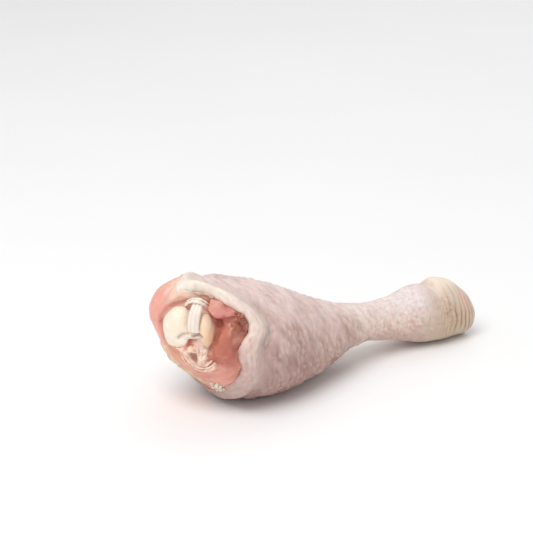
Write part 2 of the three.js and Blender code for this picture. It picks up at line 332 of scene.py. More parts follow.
def loft(shape, closed=False):
    """Quads between neighbouring rings, facing outwards where the rings run from knee to ankle."""
    count, around = shape
    ring = np.arange(count if closed else count - 1)[:, None]
    place = np.arange(around)[None, :]
    here = ring * around + place
    onward = (ring + 1) % count * around + place
    quads = [here, onward, np.roll(onward, -1, axis=1), np.roll(here, -1, axis=1)]
    return np.stack(quads, axis=-1).reshape(-1, 4)


def fan(ring, pole, at_start):
    """Triangles from a ring to the pole that closes it."""
    after = np.roll(ring, -1)
    middle = np.full_like(ring, pole)
    order = [middle, ring, after] if at_start else [ring, middle, after]
    return np.stack(order, axis=-1)


def closed_rings(rings, poles):
    """Points, quads and end triangles of a run of rings, with a pole for each end."""
    count, around = rings.shape[:2]
    total = count * around
    points = np.concatenate([rings.reshape(-1, 3), poles])
    first = np.arange(around)
    ends = [fan(first, total, True), fan(total - around + first, total + 1, False)]
    return points, loft((count, around)), np.concatenate(ends)


def closed_tube(rings):
    """Points, quads and end triangles of rings closed by a flat end on each side."""
    return closed_rings(rings, [rings[0].mean(axis=0), rings[-1].mean(axis=0)])


def mesh_from(name, points, quads=(), triangles=(), colours=None, **values):
    """A mesh in metres from points in the leg's own measure, with a tint and other values."""
    mesh = bpy.data.meshes.new(name)
    points = in_metres(points)
    faces = [np.asarray(f).reshape(-1, n) for f, n in ((quads, 4), (triangles, 3)) if len(f)]
    corners = np.concatenate([f.ravel() for f in faces])
    sizes = np.concatenate([np.full(len(f), f.shape[1]) for f in faces])
    mesh.vertices.add(len(points))
    mesh.vertices.foreach_set("co", points.ravel())
    mesh.loops.add(len(corners))
    mesh.loops.foreach_set("vertex_index", corners)
    mesh.polygons.add(len(sizes))
    mesh.polygons.foreach_set("loop_start", np.concatenate([[0], np.cumsum(sizes)[:-1]]))
    mesh.update(calc_edges=True)
    mesh.validate()
    if colours is not None:
        add_tint(mesh, colours)
    for key, value in values.items():
        add_value(mesh, key, value)
    mesh.shade_smooth()
    return mesh


def bare_mesh(name, points, edges=()):
    """A mesh of points and lines without faces."""
    mesh = bpy.data.meshes.new(name)
    mesh.from_pydata([tuple(p) for p in in_metres(points)], edges, [])
    return mesh


def add_object(name, data):
    """A new object in the scene."""
    made = bpy.data.objects.new(name, data)
    bpy.context.scene.collection.objects.link(made)
    return made


def show(mesh, slot, *nodes, material=None):
    """Makes the finished mesh a piece of the drumstick."""
    piece = add_object(mesh.name, mesh)
    if material:
        mesh.materials.append(material)
    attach(piece, "root")
    if nodes:
        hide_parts(*nodes)


def plain_mesh(holder):
    """The mesh that an object's modifiers make. The object itself goes."""
    depsgraph = bpy.context.evaluated_depsgraph_get()
    made = bpy.data.meshes.new_from_object(holder.evaluated_get(depsgraph), depsgraph=depsgraph)
    bpy.data.objects.remove(holder)
    return made


def bake(mesh, tree, inputs, name):
    """Runs a mesh through a node tree and gives the plain mesh that comes out."""
    holder = add_object(name + "_maker", mesh)
    modifier = holder.modifiers.new(tree.name, "NODES")
    modifier.node_group = tree
    for item in tree.interface.items_tree:
        if item.item_type == "SOCKET" and item.in_out == "INPUT" and item.name in inputs:
            modifier[item.identifier] = inputs[item.name]
    made = plain_mesh(holder)
    made.name = name
    return made


# ---- Node trees for what repeats or follows a path ----


class NodeMaker:
    """Adds nodes to a tree and joins them."""

    def __init__(self, tree):
        self.tree = tree

    def join(self, output, input_socket):
        self.tree.links.new(output, input_socket)

    def add(self, kind, inputs=None, **settings):
        made = self.tree.nodes.new(kind)
        made.location = (200 * len(self.tree.nodes), 0)
        for key, value in settings.items():
            setattr(made, key, value)
        for key, value in (inputs or {}).items():
            if isinstance(value, bpy.types.NodeSocket):
                self.join(value, made.inputs[key])
            else:
                made.inputs[key].default_value = value
        return made

    def times(self, a, b):
        return self.add("ShaderNodeMath", {0: a, 1: b}, operation="MULTIPLY").outputs[0]


class TreeMaker(NodeMaker):
    """Makes a tree of geometry nodes."""

    def __init__(self, name):
        super().__init__(bpy.data.node_groups.new(name, "GeometryNodeTree"))

    def socket(self, name, kind, way="INPUT", default=None):
        made = self.tree.interface.new_socket(name, in_out=way, socket_type="NodeSocket" + kind)
        if default is not None:
            made.default_value = default

    def own_value(self, name):
        """A number that each point has stored."""
        node = self.add("GeometryNodeInputNamedAttribute", {"Name": name}, data_type="FLOAT")
        return node.outputs[0]

    def push_out(self, surface, amount):
        """Moves each point of a surface out along its normal."""
        normal = self.add("GeometryNodeInputNormal").outputs[0]
        offset = self.add("ShaderNodeVectorMath", {0: normal, "Scale": amount}, operation="SCALE")
        inputs = {"Geometry": surface, "Offset": offset.outputs[0]}
        return self.add("GeometryNodeSetPosition", inputs).outputs[0]

    def smooth(self, surface):
        return self.add("GeometryNodeSetShadeSmooth", {"Geometry": surface}).outputs[0]

    def finish(self, geometry, material):
        real = self.add("GeometryNodeRealizeInstances", {"Geometry": geometry}).outputs[0]
        painted = self.add("GeometryNodeSetMaterial", {"Geometry": real, "Material": material})
        end = self.add("NodeGroupOutput")
        self.join(painted.outputs[0], end.inputs[0])
        return self.tree


def follicle_tree():
    """Raises the skin in a soft bump over each feather follicle."""
    maker = TreeMaker("feather_follicles")
    maker.socket("Skin", "Geometry")
    maker.socket("Sites", "Object")
    maker.socket("Radius", "Float", default=0.001)
    maker.socket("Height", "Float", default=0.0002)
    maker.socket("Finish", "Material")
    maker.socket("Skin", "Geometry", way="OUTPUT")
    start = maker.add("NodeGroupInput").outputs
    sites = maker.add("GeometryNodeObjectInfo", {"Object": start["Sites"]}).outputs["Geometry"]
    nearest = maker.add("GeometryNodeProximity", {"Geometry": sites}, target_element="EDGES")
    near = maker.add(
        "ShaderNodeMapRange",
        {
            "Value": nearest.outputs["Distance"],
            "From Max": start["Radius"],
            "To Min": 1.0,
            "To Max": 0.0,
        },
        interpolation_type="SMOOTHSTEP",
    ).outputs[0]
    bump = maker.times(near, maker.own_value("pore"))
    raised = maker.push_out(start["Skin"], maker.times(bump, start["Height"]))
    stored = maker.add(
        "GeometryNodeStoreNamedAttribute",
        {"Geometry": raised, "Name": "tip", "Value": bump},
        data_type="FLOAT",
        domain="POINT",
    )
    return maker.finish(stored.outputs[0], start["Finish"])


def strand_tree():
    """Turns lines into closed round strands as thick as each point says."""
    maker = TreeMaker("tissue_strands")
    maker.socket("Lines", "Geometry")
    maker.socket("Sides", "Int", default=10)
    maker.socket("Finish", "Material")
    maker.socket("Strands", "Geometry", way="OUTPUT")
    start = maker.add("NodeGroupInput").outputs
    curves = maker.add("GeometryNodeMeshToCurve", {"Mesh": start["Lines"]}).outputs[0]
    thick = maker.own_value("thick")
    sized = maker.add("GeometryNodeSetCurveRadius", {"Curve": curves, "Radius": thick}).outputs[0]
    ring = maker.add(
        "GeometryNodeCurvePrimitiveCircle", {"Resolution": start["Sides"], "Radius": 1.0}
    ).outputs[0]
    tube = maker.add(
        "GeometryNodeCurveToMesh", {"Curve": sized, "Profile Curve": ring, "Fill Caps": True}
    )
    if "Scale" in tube.inputs:
        maker.join(thick, tube.inputs["Scale"])
    return maker.finish(maker.smooth(tube.outputs[0]), start["Finish"])


def crumb_tree():
    """Sets a small lump on each point, each one turned and sized its own way."""
    maker = TreeMaker("tissue_crumbs")
    maker.socket("Places", "Geometry")
    maker.socket("Smallest", "Float", default=0.0003)
    maker.socket("Largest", "Float", default=0.0008)
    maker.socket("Seed", "Int", default=3)
    maker.socket("Finish", "Material")
    maker.socket("Crumbs", "Geometry", way="OUTPUT")
    start = maker.add("NodeGroupInput").outputs
    lump = maker.add("GeometryNodeMeshIcoSphere", {"Radius": 1.0, "Subdivisions": 3})
    spots = maker.add("GeometryNodeMeshToPoints", {"Mesh": start["Places"]}).outputs[0]
    seed = {"Seed": start["Seed"]}
    turn = maker.add("FunctionNodeRandomValue", seed, data_type="FLOAT_VECTOR")
    turn.inputs["Max"].default_value = (math.tau,) * 3
    size = maker.add("FunctionNodeRandomValue", seed, data_type="FLOAT")
    maker.join(start["Smallest"], size.inputs[2])
    maker.join(start["Largest"], size.inputs[3])
    flatter = maker.times(size.outputs[1], 0.62)
    squash = maker.add("ShaderNodeCombineXYZ", {0: size.outputs[1], 1: flatter, 2: flatter})
    placed = maker.add(
        "GeometryNodeInstanceOnPoints",
        {
            "Points": spots,
            "Instance": lump.outputs["Mesh"],
            "Rotation": turn.outputs[0],
            "Scale": squash.outputs[0],
        },
    ).outputs[0]
    real = maker.add("GeometryNodeRealizeInstances", {"Geometry": placed}).outputs[0]
    place = maker.add("GeometryNodeInputPosition").outputs[0]
    grain = maker.add("ShaderNodeTexNoise", {"Vector": place, "Scale": 1500.0, "Detail": 2.0})
    lift = maker.add("ShaderNodeMath", {0: grain.outputs[0], 1: 0.5}, operation="SUBTRACT")
    moved = maker.push_out(real, maker.times(lift.outputs[0], start["Largest"]))
    return maker.finish(maker.smooth(moved), start["Finish"])


# ---- Materials ----


class FinishMaker(NodeMaker):
    """Makes a material for wet tissue."""

    def __init__(self, name, roughness, subsurface, radius, coat):
        self.material = bpy.data.materials.new(name)
        self.material.use_nodes = True
        super().__init__(self.material.node_tree)
        self.tree.nodes.clear()
        self.shader = self.add(
            "ShaderNodeBsdfPrincipled",
            {
                "Roughness": roughness,
                "IOR": 1.4,
                "Subsurface Weight": subsurface,
                "Subsurface Radius": radius,
                "Subsurface Scale": 0.001,
                "Coat Weight": coat,
                "Coat Roughness": 0.22,
            },
        )
        end = self.add("ShaderNodeOutputMaterial")
        self.join(self.shader.outputs[0], end.inputs[0])
        self.place = self.add("ShaderNodeTexCoord").outputs["Object"]

    def attribute(self, name):
        return self.add("ShaderNodeAttribute", attribute_name=name)

    def grain(self, size, detail=3.0, stretch=(1, 1, 1), roughness=0.55, distortion=0.0):
        """Noise whose lumps are that many millimetres apart."""
        mapped = self.add("ShaderNodeMapping", {"Vector": self.place})
        mapped.inputs["Scale"].default_value = tuple(1 / s for s in stretch)
        return self.add(
            "ShaderNodeTexNoise",
            {
                "Vector": mapped.outputs[0],
                "Scale": 1000 / size,
                "Detail": detail,
                "Roughness": roughness,
                "Distortion": distortion,
            },
        ).outputs[0]

    def spread(self, value, low, high, start=0.0, end=1.0):
        """Runs from start to end as the value goes from low to high."""
        return self.add(
            "ShaderNodeMapRange",
            {"Value": value, "From Min": low, "From Max": high, "To Min": start, "To Max": end},
        ).outputs[0]

    def layer(self, below, paint, share, blend="MIX"):
        """Lays a colour over the one below, as much as the share says."""
        mixed = self.add("ShaderNodeMix", data_type="RGBA", blend_type=blend)
        self.join(share, mixed.inputs[0])
        self.join(below, mixed.inputs[6])
        mixed.inputs[7].default_value = (*paint, 1)
        return mixed.outputs[2]

    def patches(self, below, paint, share, pattern, low, high, blend="MIX"):
        """Lays a colour in patches, from none where the pattern is low to that share where high."""
        return self.layer(below, paint, self.times(self.spread(pattern, low, high), share), blend)

    def bump(self, height, distance, strength, below=None):
        inputs = {"Height": height, "Distance": distance, "Strength": strength}
        made = self.add("ShaderNodeBump", inputs)
        if below:
            self.join(below, made.inputs["Normal"])
        return made.outputs[0]

    def finish(self, paint, normal=None, roughness=None):
        self.join(paint, self.shader.inputs["Base Color"])
        if normal:
            self.join(normal, self.shader.inputs["Normal"])
            self.join(normal, self.shader.inputs["Coat Normal"])
        if roughness:
            self.join(roughness, self.shader.inputs["Roughness"])
        return self.material


# How many millimetres red, green and blue light run under the surface.
FLESH_RADIUS = (1.6, 0.55, 0.35)
FAT_RADIUS = (1.4, 1.0, 0.6)
STREAK_SHADE = (0.72, 0.56, 0.47)


def skin_finish(colours):
    """Thin pale skin: pink blotches, pale follicle tips with a painted highlight, and fine creases
    across the leg with painted shade in their streaks.
    """
    made = FinishMaker("raw_skin", 0.46, 0.3, FLESH_RADIUS, 0.12)
    paint = made.attribute("tint").outputs["Color"]
    paint = made.patches(paint, colours.skin_blotch, 0.22, made.grain(11, 3), 0.42, 0.7)
    streak = made.grain(1.3, 3, (1, 3.6, 3.6))
    paint = made.patches(paint, STREAK_SHADE, 0.32, streak, 0.5, 0.72, "MULTIPLY")
    paint = made.patches(paint, colours.follicle, 0.2, made.grain(0.9, 2), 0.6, 0.75)
    tip = made.attribute("tip").outputs["Fac"]
    # Pale follicle tips: their own paler colour, with a painted highlight on top of each bump.
    paint = made.patches(paint, colours.follicle, 0.34, tip, 0.25, 0.95)
    fine = made.bump(made.grain(0.55, 3, (1, 2.4, 2.4)), 0.00007, 0.6)
    pebbled = made.bump(made.grain(1.6, 2), 0.00016, 0.5, fine)
    rough = made.spread(made.grain(3.2, 2), 0.3, 0.7, 0.4, 0.56)
    return made.finish(paint, pebbled, rough)


def meat_finish(colours):
    """Wet muscle: long darker fibres, and paler patches where its film is thick."""
    made = FinishMaker("raw_meat", 0.36, 0.32, FLESH_RADIUS, 0.25)
    paint = made.attribute("tint").outputs["Color"]
    fibre = made.grain(0.8, 3, (2.2, 1, 6), 0.6, 0.3)
    paint = made.patches(paint, colours.muscle_dark, 0.2, fibre, 0.45, 0.7)
    paint = made.patches(paint, colours.fascia_and_highlight, 0.3, made.grain(5, 3), 0.52, 0.75)
    fine = made.bump(made.grain(0.7, 3, (2, 1, 5)), 0.0001, 0.6)
    soft = made.bump(made.grain(3.5, 2), 0.0003, 0.4, fine)
    rough = made.spread(made.grain(2.4, 2), 0.3, 0.7, 0.28, 0.46)
    return made.finish(paint, soft, rough)


def gristle_finish(name, colours, mottle_colour, fibre_stretch, roughness=0.32):
    """Smooth wet gristle or fat, a little mottled, with a faint grain."""
    made = FinishMaker(name, roughness, 0.35, FAT_RADIUS, 0.22)
    paint = made.attribute("tint").outputs["Color"]
    paint = made.patches(paint, mottle_colour, 0.3, made.grain(2.6, 3), 0.45, 0.72)
    fibre = made.grain(0.6, 3, fibre_stretch)
    paint = made.patches(paint, colours.gristle_shade, 0.18, fibre, 0.55, 0.75)
    fine = made.bump(made.grain(0.5, 3, fibre_stretch), 0.00008, 0.7)
    soft = made.bump(made.grain(2.2, 2), 0.0002, 0.4, fine)
    rough = made.spread(made.grain(1.8, 2), 0.3, 0.7, roughness - 0.06, roughness + 0.12)
    return made.finish(paint, soft, rough)


def floor_finish(shade):
    """A pale floor, very slightly cloudy."""
    made = FinishMaker("pale_floor", 0.7, 0.0, (1, 1, 1), 0.0)
    cloud = made.spread(made.grain(120, 2), 0.3, 0.7)
    base = made.add("ShaderNodeRGB")
    base.outputs[0].default_value = (*shade, 1)
    paint = made.layer(base.outputs[0], tuple(s * 0.985 for s in shade), cloud)
    return made.finish(paint)


# ---- The skin ----

AROUND = 280
HEM_RINGS, SLEEVE_RINGS, LIP_RINGS, LINING_RINGS = 42, 286, 6, 12
HEM_STEP = 0.36
ANKLE_ROUND = 0.9
# Where along the leg the rows of follicles start and end.
FIRST_ROW, LAST_ROW = 16.0, 110


def skin_rings():
    """The skin's wall as one closed run of rings: outside, ankle lip, lining, knee lip."""
    turn = np.linspace(0, 360, AROUND, endpoint=False)[None, :]
    hoop = round_points(turn, 22)
    frill = 0.45 * noise(hoop, 4.2, 1) + 0.3 * noise(hoop, 1.7, 2)
    knee = knee_edge(turn) + frill
    ankle = ankle_edge(turn) + 0.35 * noise(hoop, 5, 3) - 0.35
    lip = lip_thickness(turn) * (1 + 0.14 * noise(hoop, 5, 4))
    knee_round, sleeve_end = 0.5 * lip, ankle - knee - ANKLE_ROUND

    hem = knee_round + HEM_STEP * np.arange(HEM_RINGS)[:, None]
    # The sleeve's rings lie closer together over the ankle's fine creases.
    rest = np.linspace(0, 1, SLEEVE_RINGS + 1)[1:, None]
    rest = np.where(rest < 0.6, rest / 0.6 * 0.79, 0.79 + (rest - 0.6) / 0.4 * 0.21)
    sleeve = mix(hem[-1:], sleeve_end, rest)
    outside = np.concatenate([hem, sleeve])
    angle = np.radians(180 * np.arange(1, LIP_RINGS) / LIP_RINGS)[:, None]
    ankle_lip = sleeve_end + ANKLE_ROUND * np.sin(angle)
    lining = mix(sleeve_end, knee_round, np.linspace(0, 1, LINING_RINGS)[:, None] ** 0.7)
    knee_lip = knee_round - knee_round * np.sin(angle)
    from_edge = np.concatenate([outside, ankle_lip, lining, knee_lip])

    wall = skin_thickness(from_edge, lip)
    share = np.concatenate([
        np.zeros_like(outside),
        np.broadcast_to((1 - np.cos(angle)) / 2, ankle_lip.shape),
        np.ones_like(lining),
        np.broadcast_to((1 + np.cos(angle)) / 2, knee_lip.shape),
    ])
    along = knee + from_edge
    turn = np.broadcast_to(turn, along.shape)
    points = leg_point(along, turn, share * wall, lip_tuck(from_edge, turn))
    return points, along, turn, from_edge, share, len(outside)


def skin_relief(points, along, turn, from_edge):
    """How far the outside of the skin stands out, in millimetres: (broad, fine)."""
    below = near_turn(turn, -115, 75)
    body = ramp(from_edge, 6, 16) * (1 - 0.7 * ramp(along, 78, 98)) * (1 - ramp(along, 108, 116))
    broad = 0.38 * noise(points, 13, 5) + 0.3 * noise(points, 6, 6) * (0.5 + 0.8 * below)
    skew = leaned(points, 0.45)
    fold = noise(skew, 3.1, 7, (1, 3.0, 3.0))
    fine = 0.32 * fold * body * (0.35 + 0.75 * below)
    goose = noise(skew, 2.0, 19, (1, 1.7, 1.7))
    fine = fine + 0.28 * np.maximum(goose, -0.25) * body * (0.55 + 0.5 * below)
    fine = fine + 0.08 * noise(points, 1.15, 8, (1, 3.4, 3.4)) * body
    fine = fine + 0.14 * noise(points, 1.3, 9) * ramp(along, 60, 85) * (1 - ramp(along, 108, 116))

    groove = near_turn(turn, -66, 26) + 0.4 * near_turn(turn, -130, 40)
    broad = broad - 1.5 * groove * hump(from_edge, 9.4 + 0.9 * noise(points, 9, 10), 1.5)
    roll = near_turn(turn, -90, 50)
    puff = hump(from_edge, 4.8, 2.6)
    broad = broad + puff * (0.2 + 0.7 * roll + (0.3 + 0.4 * roll) * noise(points, 5.5, 11))
    fine = fine + 0.14 * noise(points, 1.9, 12) * hump(from_edge, 2, 4)
    pleat = np.sin(math.tau * from_edge / 1.7 + 2.2 * noise(points, 4, 16))
    gathered = roll * (1 - ramp(from_edge, 4, 7)) * ramp(noise(points, 3, 17), -0.5, 0.4)
    fine = fine + 0.11 * pleat * gathered - crease_depth(points, along, turn)
    knuckle = 1.2 * hump(along, 111.5, 5.5) - 0.6 * hump(along, 118.6, 1.2)
    broad = broad + knuckle * near_turn(turn, -4, 36)
    return broad, fine


def crease_depth(points, along, turn):
    """The fine creases that run round the ankle knuckle on both sides, in millimetres."""
    sides = near_turn(turn, -88, 48) + near_turn(turn, 100, 50)
    bend = 0.035 * turn_from(turn, -88) * (turn < 0)
    spacing = mix(1.25, 1.9, ramp(along, 116, 131))
    phase = (along + bend - 112) / spacing + 0.5 * noise(points, 8, 13)
    line = (1 - np.abs(np.sin(np.pi * phase))) ** 1.7
    where = ramp(along, 110, 118) * (1 - ramp(along, 134.5, 137)) * sides
    deep = mix(0.16, 0.5, ramp(along, 116, 127)) * (0.6 + 0.7 * noise(points, 5, 14))
    return line * where * np.clip(deep, 0.02, 1)


def skin_tint(colours, points, along, turn, from_edge, share, fine):
    """The colour of each point of the skin."""
    def spot(middle, size):
        return leg_spot(along, turn, middle, size)

    height = points[..., 2] / np.maximum(1, middle_height(along) * 2)
    top = near_turn(turn, -5, 62)
    under = near_turn(turn, 180, 78)
    soft = 0.5 + 0.5 * noise(points, 16, 21)
    mottle = np.clip(0.5 + 0.7 * noise(points, 7, 22), 0, 1)
    side = near_turn(turn, -112, 48) * ramp(along, 14, 24) * (1 - ramp(along, 66, 84))
    skew = leaned(points, 0.6)
    streak = 0.3 + 1.2 * noise(skew, 6, 24, (1, 2.6, 2.6)) + spot((33, -112), (13, 24))
    shank = ramp(along, 66, 84) * (1 - ramp(along, 104, 114))
    knuckle = ramp(along, 106, 116)
    belly = 1 - knuckle
    cap = ramp(along, 117, 121.5) * (1 - ramp(along, 129, 134)) * near_turn(turn, -4, 34)
    grain = np.clip(0.15 + 1.6 * noise(skew, 1.4, 26, (1, 1.5, 1.5)), 0, 1)
    ochre = (0.6 + 0.7 * noise(points, 6, 25)) * near_turn(turn, -88, 38)
    crease = crease_depth(points, along, turn)
    dots = np.clip(0.2 + 1.6 * noise(points, 1.2, 27, (1.5, 1, 1)), 0, 1)
    layers = [
        # Painted light: the top of the leg is painted paler, as if lit from above.
        (colours.skin_top_light, top * (0.5 + 0.4 * soft) * mix(0.5, 1, ramp(along, 22, 44))),
        (colours.skin_blotch, 0.4 * mottle * (1 - top) * belly * (1 - 0.5 * shank)),
        # Painted shade: the underside of the leg is painted darker.
        (colours.skin_under_shade, under * belly * (1 - 0.45 * shank)),
        (colours.skin_shade, np.clip(0.75 * streak, 0, 0.8) * side * belly),
        # Painted shade low on the near side of the belly.
        (colours.skin_low_shade, 0.6 * spot((47, -120), (13, 24))),
        (colours.shank, shank * (0.6 + 0.25 * mottle)),
        # The shank's own warm grain, kept off its top so that the top reads paler as painted light.
        (colours.shank_grain, 0.6 * grain * shank * (1 - 0.8 * top)),
        (colours.skin_shade, 0.36 * shank * near_turn(turn, -128, 32)),
        (colours.lilac, 0.55 * shank * near_turn(turn, -30, 30)),
        (colours.waist_grain, 0.6 * grain * spot((58, -112), (13, 42))),
        (colours.knuckle, knuckle * (1 - 0.5 * top)),
        # Painted shade under the ankle knuckle.
        (colours.knuckle_under_shade, 0.7 * knuckle * near_turn(turn, 180, 80)),
        (colours.ochre, 0.6 * ochre * hump(along, 123, 7)),
        (colours.hock, cap),
        (colours.crease, 0.5 * dots * spot((120.5, -72), (6.5, 34))),
        # The ankle creases' own brown, together with painted shade in their hollows.
        (colours.crease, np.clip(2.0 * crease, 0, 0.62)),
        (colours.lilac, 0.85 * spot((107, -14), (10, 42))),
        (colours.capsule_mottle, 0.7 * spot((132, -38), (1.8, 20))),
        (colours.hem, hump(from_edge, 1.5, 8.0) * (0.25 + 0.75 * near_turn(turn, -22, 46))),
        (colours.skin_blotch, 0.32 * hump(from_edge, 1.0, 3.4) * near_turn(turn, -104, 30)),
        (colours.skin_grey, 0.5 * hump(from_edge, 9.5, 5) * near_turn(turn, -22, 40)),
        (colours.skin_shade, 0.5 * hump(from_edge, 10.6, 2.4) * near_turn(turn, -66, 30)),
        (colours.lining, ramp(share, 0.35, 0.9)),
    ]
    paint = blend_colours(colours.skin, layers)
    # Painted shade and light: hollows are darker and warmer, and higher points a little lighter.
    light = np.clip(fine * 1.1, -0.24, 0.1)[..., None] * np.array([0.8, 1.0, 1.15])
    return np.clip(paint * (1 + light + 0.05 * (height - 0.5)[..., None]), 0, 1)


def follicle_sites(rings, along, sizes):
    """Short lines across the leg on the skin, in leaning rows, one for each follicle."""
    def unit(vector):
        return vector / np.linalg.norm(vector)

    dice = np.random.default_rng(11)
    ring_along = along.mean(axis=1)
    lines = []
    row = 0
    at = FIRST_ROW
    while at < LAST_ROW:
        gap = mix(sizes.follicle_gap, sizes.follicle_gap * 0.72, ramp(at, 55, 90)) * 1000
        girth = math.tau * float(half_height(at))
        count = max(8, int(girth / gap))
        for k in range(count):
            share = (k + 0.5 * (row % 2) + dice.uniform(-0.24, 0.24)) / count
            place = at + dice.uniform(-0.26, 0.26) * gap
            i = int(np.clip(np.searchsorted(ring_along, place), 1, len(rings) - 2))
            j = int(share * AROUND) % AROUND
            side = unit(rings[i, (j + 2) % AROUND] - rings[i, j - 2])
            onward = unit(rings[i + 1, j] - rings[i - 1, j])
            lean = 0.45 if side[2] < 0 else -0.45
            reach = dice.uniform(0.4, 1.15) * (side + lean * onward)
            lines.extend((rings[i, j] - reach, rings[i, j] + reach))
        at += 0.86 * gap
        row += 1
    pairs = [(k, k + 1) for k in range(0, len(lines), 2)]
    return bare_mesh("follicle_sites", lines, pairs)


def build_skin(sizes, colours):
    """The skin's wall, with a bump over each follicle."""
    rings, along, turn, from_edge, share, outside = skin_rings()
    broad, fine = skin_relief(rings, along, turn, from_edge)
    outer = 1 - ramp(share, 0, 0.9)
    end = 1 - ramp(along, 136.5, 138)
    normal = normals_of(rings, closed=True)
    rings = rings + normal * ((broad + fine) * outer * mix(0.3, 1, end))[..., None]
    rings[..., 2] = soft_floor(rings[..., 2], 0.05)
    paint = skin_tint(colours, rings, along, turn, from_edge, share, fine * outer)

    body = ramp(from_edge, 9, 15) * (1 - ramp(along, 100, 112)) * outer
    patchy = np.clip(0.72 + 0.6 * noise(rings, 8, 15), 0, 1.15)
    pore = body * patchy * mix(1.0, 0.65, ramp(along, 55, 90))
    quads = loft(rings.shape[:2], closed=True)
    mesh = mesh_from("skin_wall", rings, quads, colours=paint, pore=pore)
    lines = follicle_sites(rings[:outside], along[:outside], sizes)
    sites = add_object("follicle_sites", lines)
    inputs = {
        "Sites": sites,
        "Radius": sizes.follicle_radius,
        "Height": sizes.follicle_height,
        "Finish": skin_finish(colours),
    }
    made = bake(mesh, follicle_tree(), inputs, "skin_cover")
    bpy.data.objects.remove(sites)
    show(made, "skin", "skin")


# ---- The meat ----

FACE_AROUND, FACE_RINGS, BARE_RINGS, HIDDEN_RINGS = 300, 110, 18, 60
SEEN_RINGS = FACE_RINGS + BARE_RINGS
# Rings too small to have a clear outward direction.
POLE_RINGS = 6
# How far past the skin's edge the meat goes under it, and how far before the ankle it ends.
TUCKED_IN, SHORT_OF_ANKLE = 1.0, 2.6
# How far the cut face's rim stays in front of where the meat goes under the skin.
CLEARANCE = 0.3
# How tight the creases between the lobes are.
CREASE_SHARPNESS = 1.35
# A pad on the face is at least this thick. Where it is sunk deeper than this, it has no cells.
THINNEST_PAD, LOWEST_LIFT = 0.3, -0.35
# A ray that looks for the face starts this far out.
RAY_START, RAY_LENGTH = 40.0, 60

# The lobes of the cut face: across, height, how far out the middle lies, half sizes out, across and
# up, lean in degrees, and how steep the rim is (1 is soft, less is steeper).
LOBES = {
    "outer_muscle": (-9.6, 36.5, -6.9, 8.8, 10.6, 14.0, 8, 1.0),
    "upper_lobe": (16.6, 43.8, -4.8, 9.2, 6.8, 5.8, -8, 1.1),
    "lower_lobe": (19.2, 28.0, -5.2, 7.9, 7.6, 12.8, -8, 0.66),
    "low_lobe": (14.0, 13.8, -6.2, 7.0, 10.4, 7.6, -25, 1.0),
}


def lobe_share(t, z, lobe):
    """How far from the middle of a lobe, where 1 is its rim."""
    across, height, _, _, half_across, half_up, lean, _ = LOBES[lobe]
    angle = math.radians(lean)
    u, v = t - across, z - height
    right = u * math.cos(angle) - v * math.sin(angle)
    up = u * math.sin(angle) + v * math.cos(angle)
    return (right / half_across) ** 2 + (up / half_up) ** 2


def bone_ring(t, z):
    """How far from the middle of the knuckles, where 1 is their rim."""
    return np.sqrt(((t - 4.5) / 11.5) ** 2 + ((z - 34.5) / 9.6) ** 2)


def meat_points(along, turn):
    """The meat's surface under the skin."""
    from_edge = along - knee_edge(turn)
    thickness = skin_thickness(from_edge, lip_thickness(turn))
    return leg_point(along, turn, thickness, lip_tuck(from_edge, turn))


def shoulder_points(turn):
    """The rim of the cut face, which stands out bare where the skin ends behind it."""
    along = SHOULDER_MIDDLE - SHOULDER_SWING * np.cos(np.radians(turn - FURTHEST_TURN))
    edge = meat_points(knee_edge(turn) + TUCKED_IN, turn)
    bare = leg_point(along, turn, 1 + lip_rise(along - knee_edge(turn)))
    share = ramp(edge[..., 0] - along, 0, 4)[..., None]
    return mix(edge, bare, share) - (1 - share) * np.array([CLEARANCE, 0, 0])


def face_points(radius, turn):
    """The cut face before its lobes, domed from its rim to its pole."""
    fullness = 2.6 + 0.8 * np.cos(np.radians(turn - FURTHEST_TURN))
    rim = shoulder_points(turn)
    x = mix(KNEE_POLE[0], rim[..., 0], radius**fullness)
    y = mix(KNEE_POLE[1], rim[..., 1], radius)
    z = mix(KNEE_POLE[2], rim[..., 2], radius)
    return np.stack([x, y, z], axis=-1)


def face_relief(points):
    """How far the cut face goes out at its lobes and in at its creases."""
    t, n, z = points @ ACROSS, points @ OUTWARD, points[..., 2]
    total = np.exp(CREASE_SHARPNESS * (n - 1.5 * ramp(t, 7, 12)))
    for lobe, (_, _, middle, half, _, _, _, steep) in LOBES.items():
        q = lobe_share(t, z, lobe)
        top = middle + half * np.clip(1 - q, 0, 1) ** steep
        total = total + np.where(q < 1, np.exp(CREASE_SHARPNESS * top), 0)
    lifted = np.log(total) / CREASE_SHARPNESS
    bone = bone_ring(t, z)
    moat = 1.4 * hump(bone, 1.0, 0.12) + 1.2 * (1 - ramp(bone, 0.6, 1.0))
    lifted = lifted - moat * (0.1 + 0.9 * ramp(z, 27.5, 33))
    lifted = lifted - 2.0 * face_spot(t, z, (8.2, 24.2), (2.4, 3.2))
    lifted = lifted - 1.8 * face_spot(t, z, (25.0, 38.4), (3.4, 3.2))
    return lifted - n


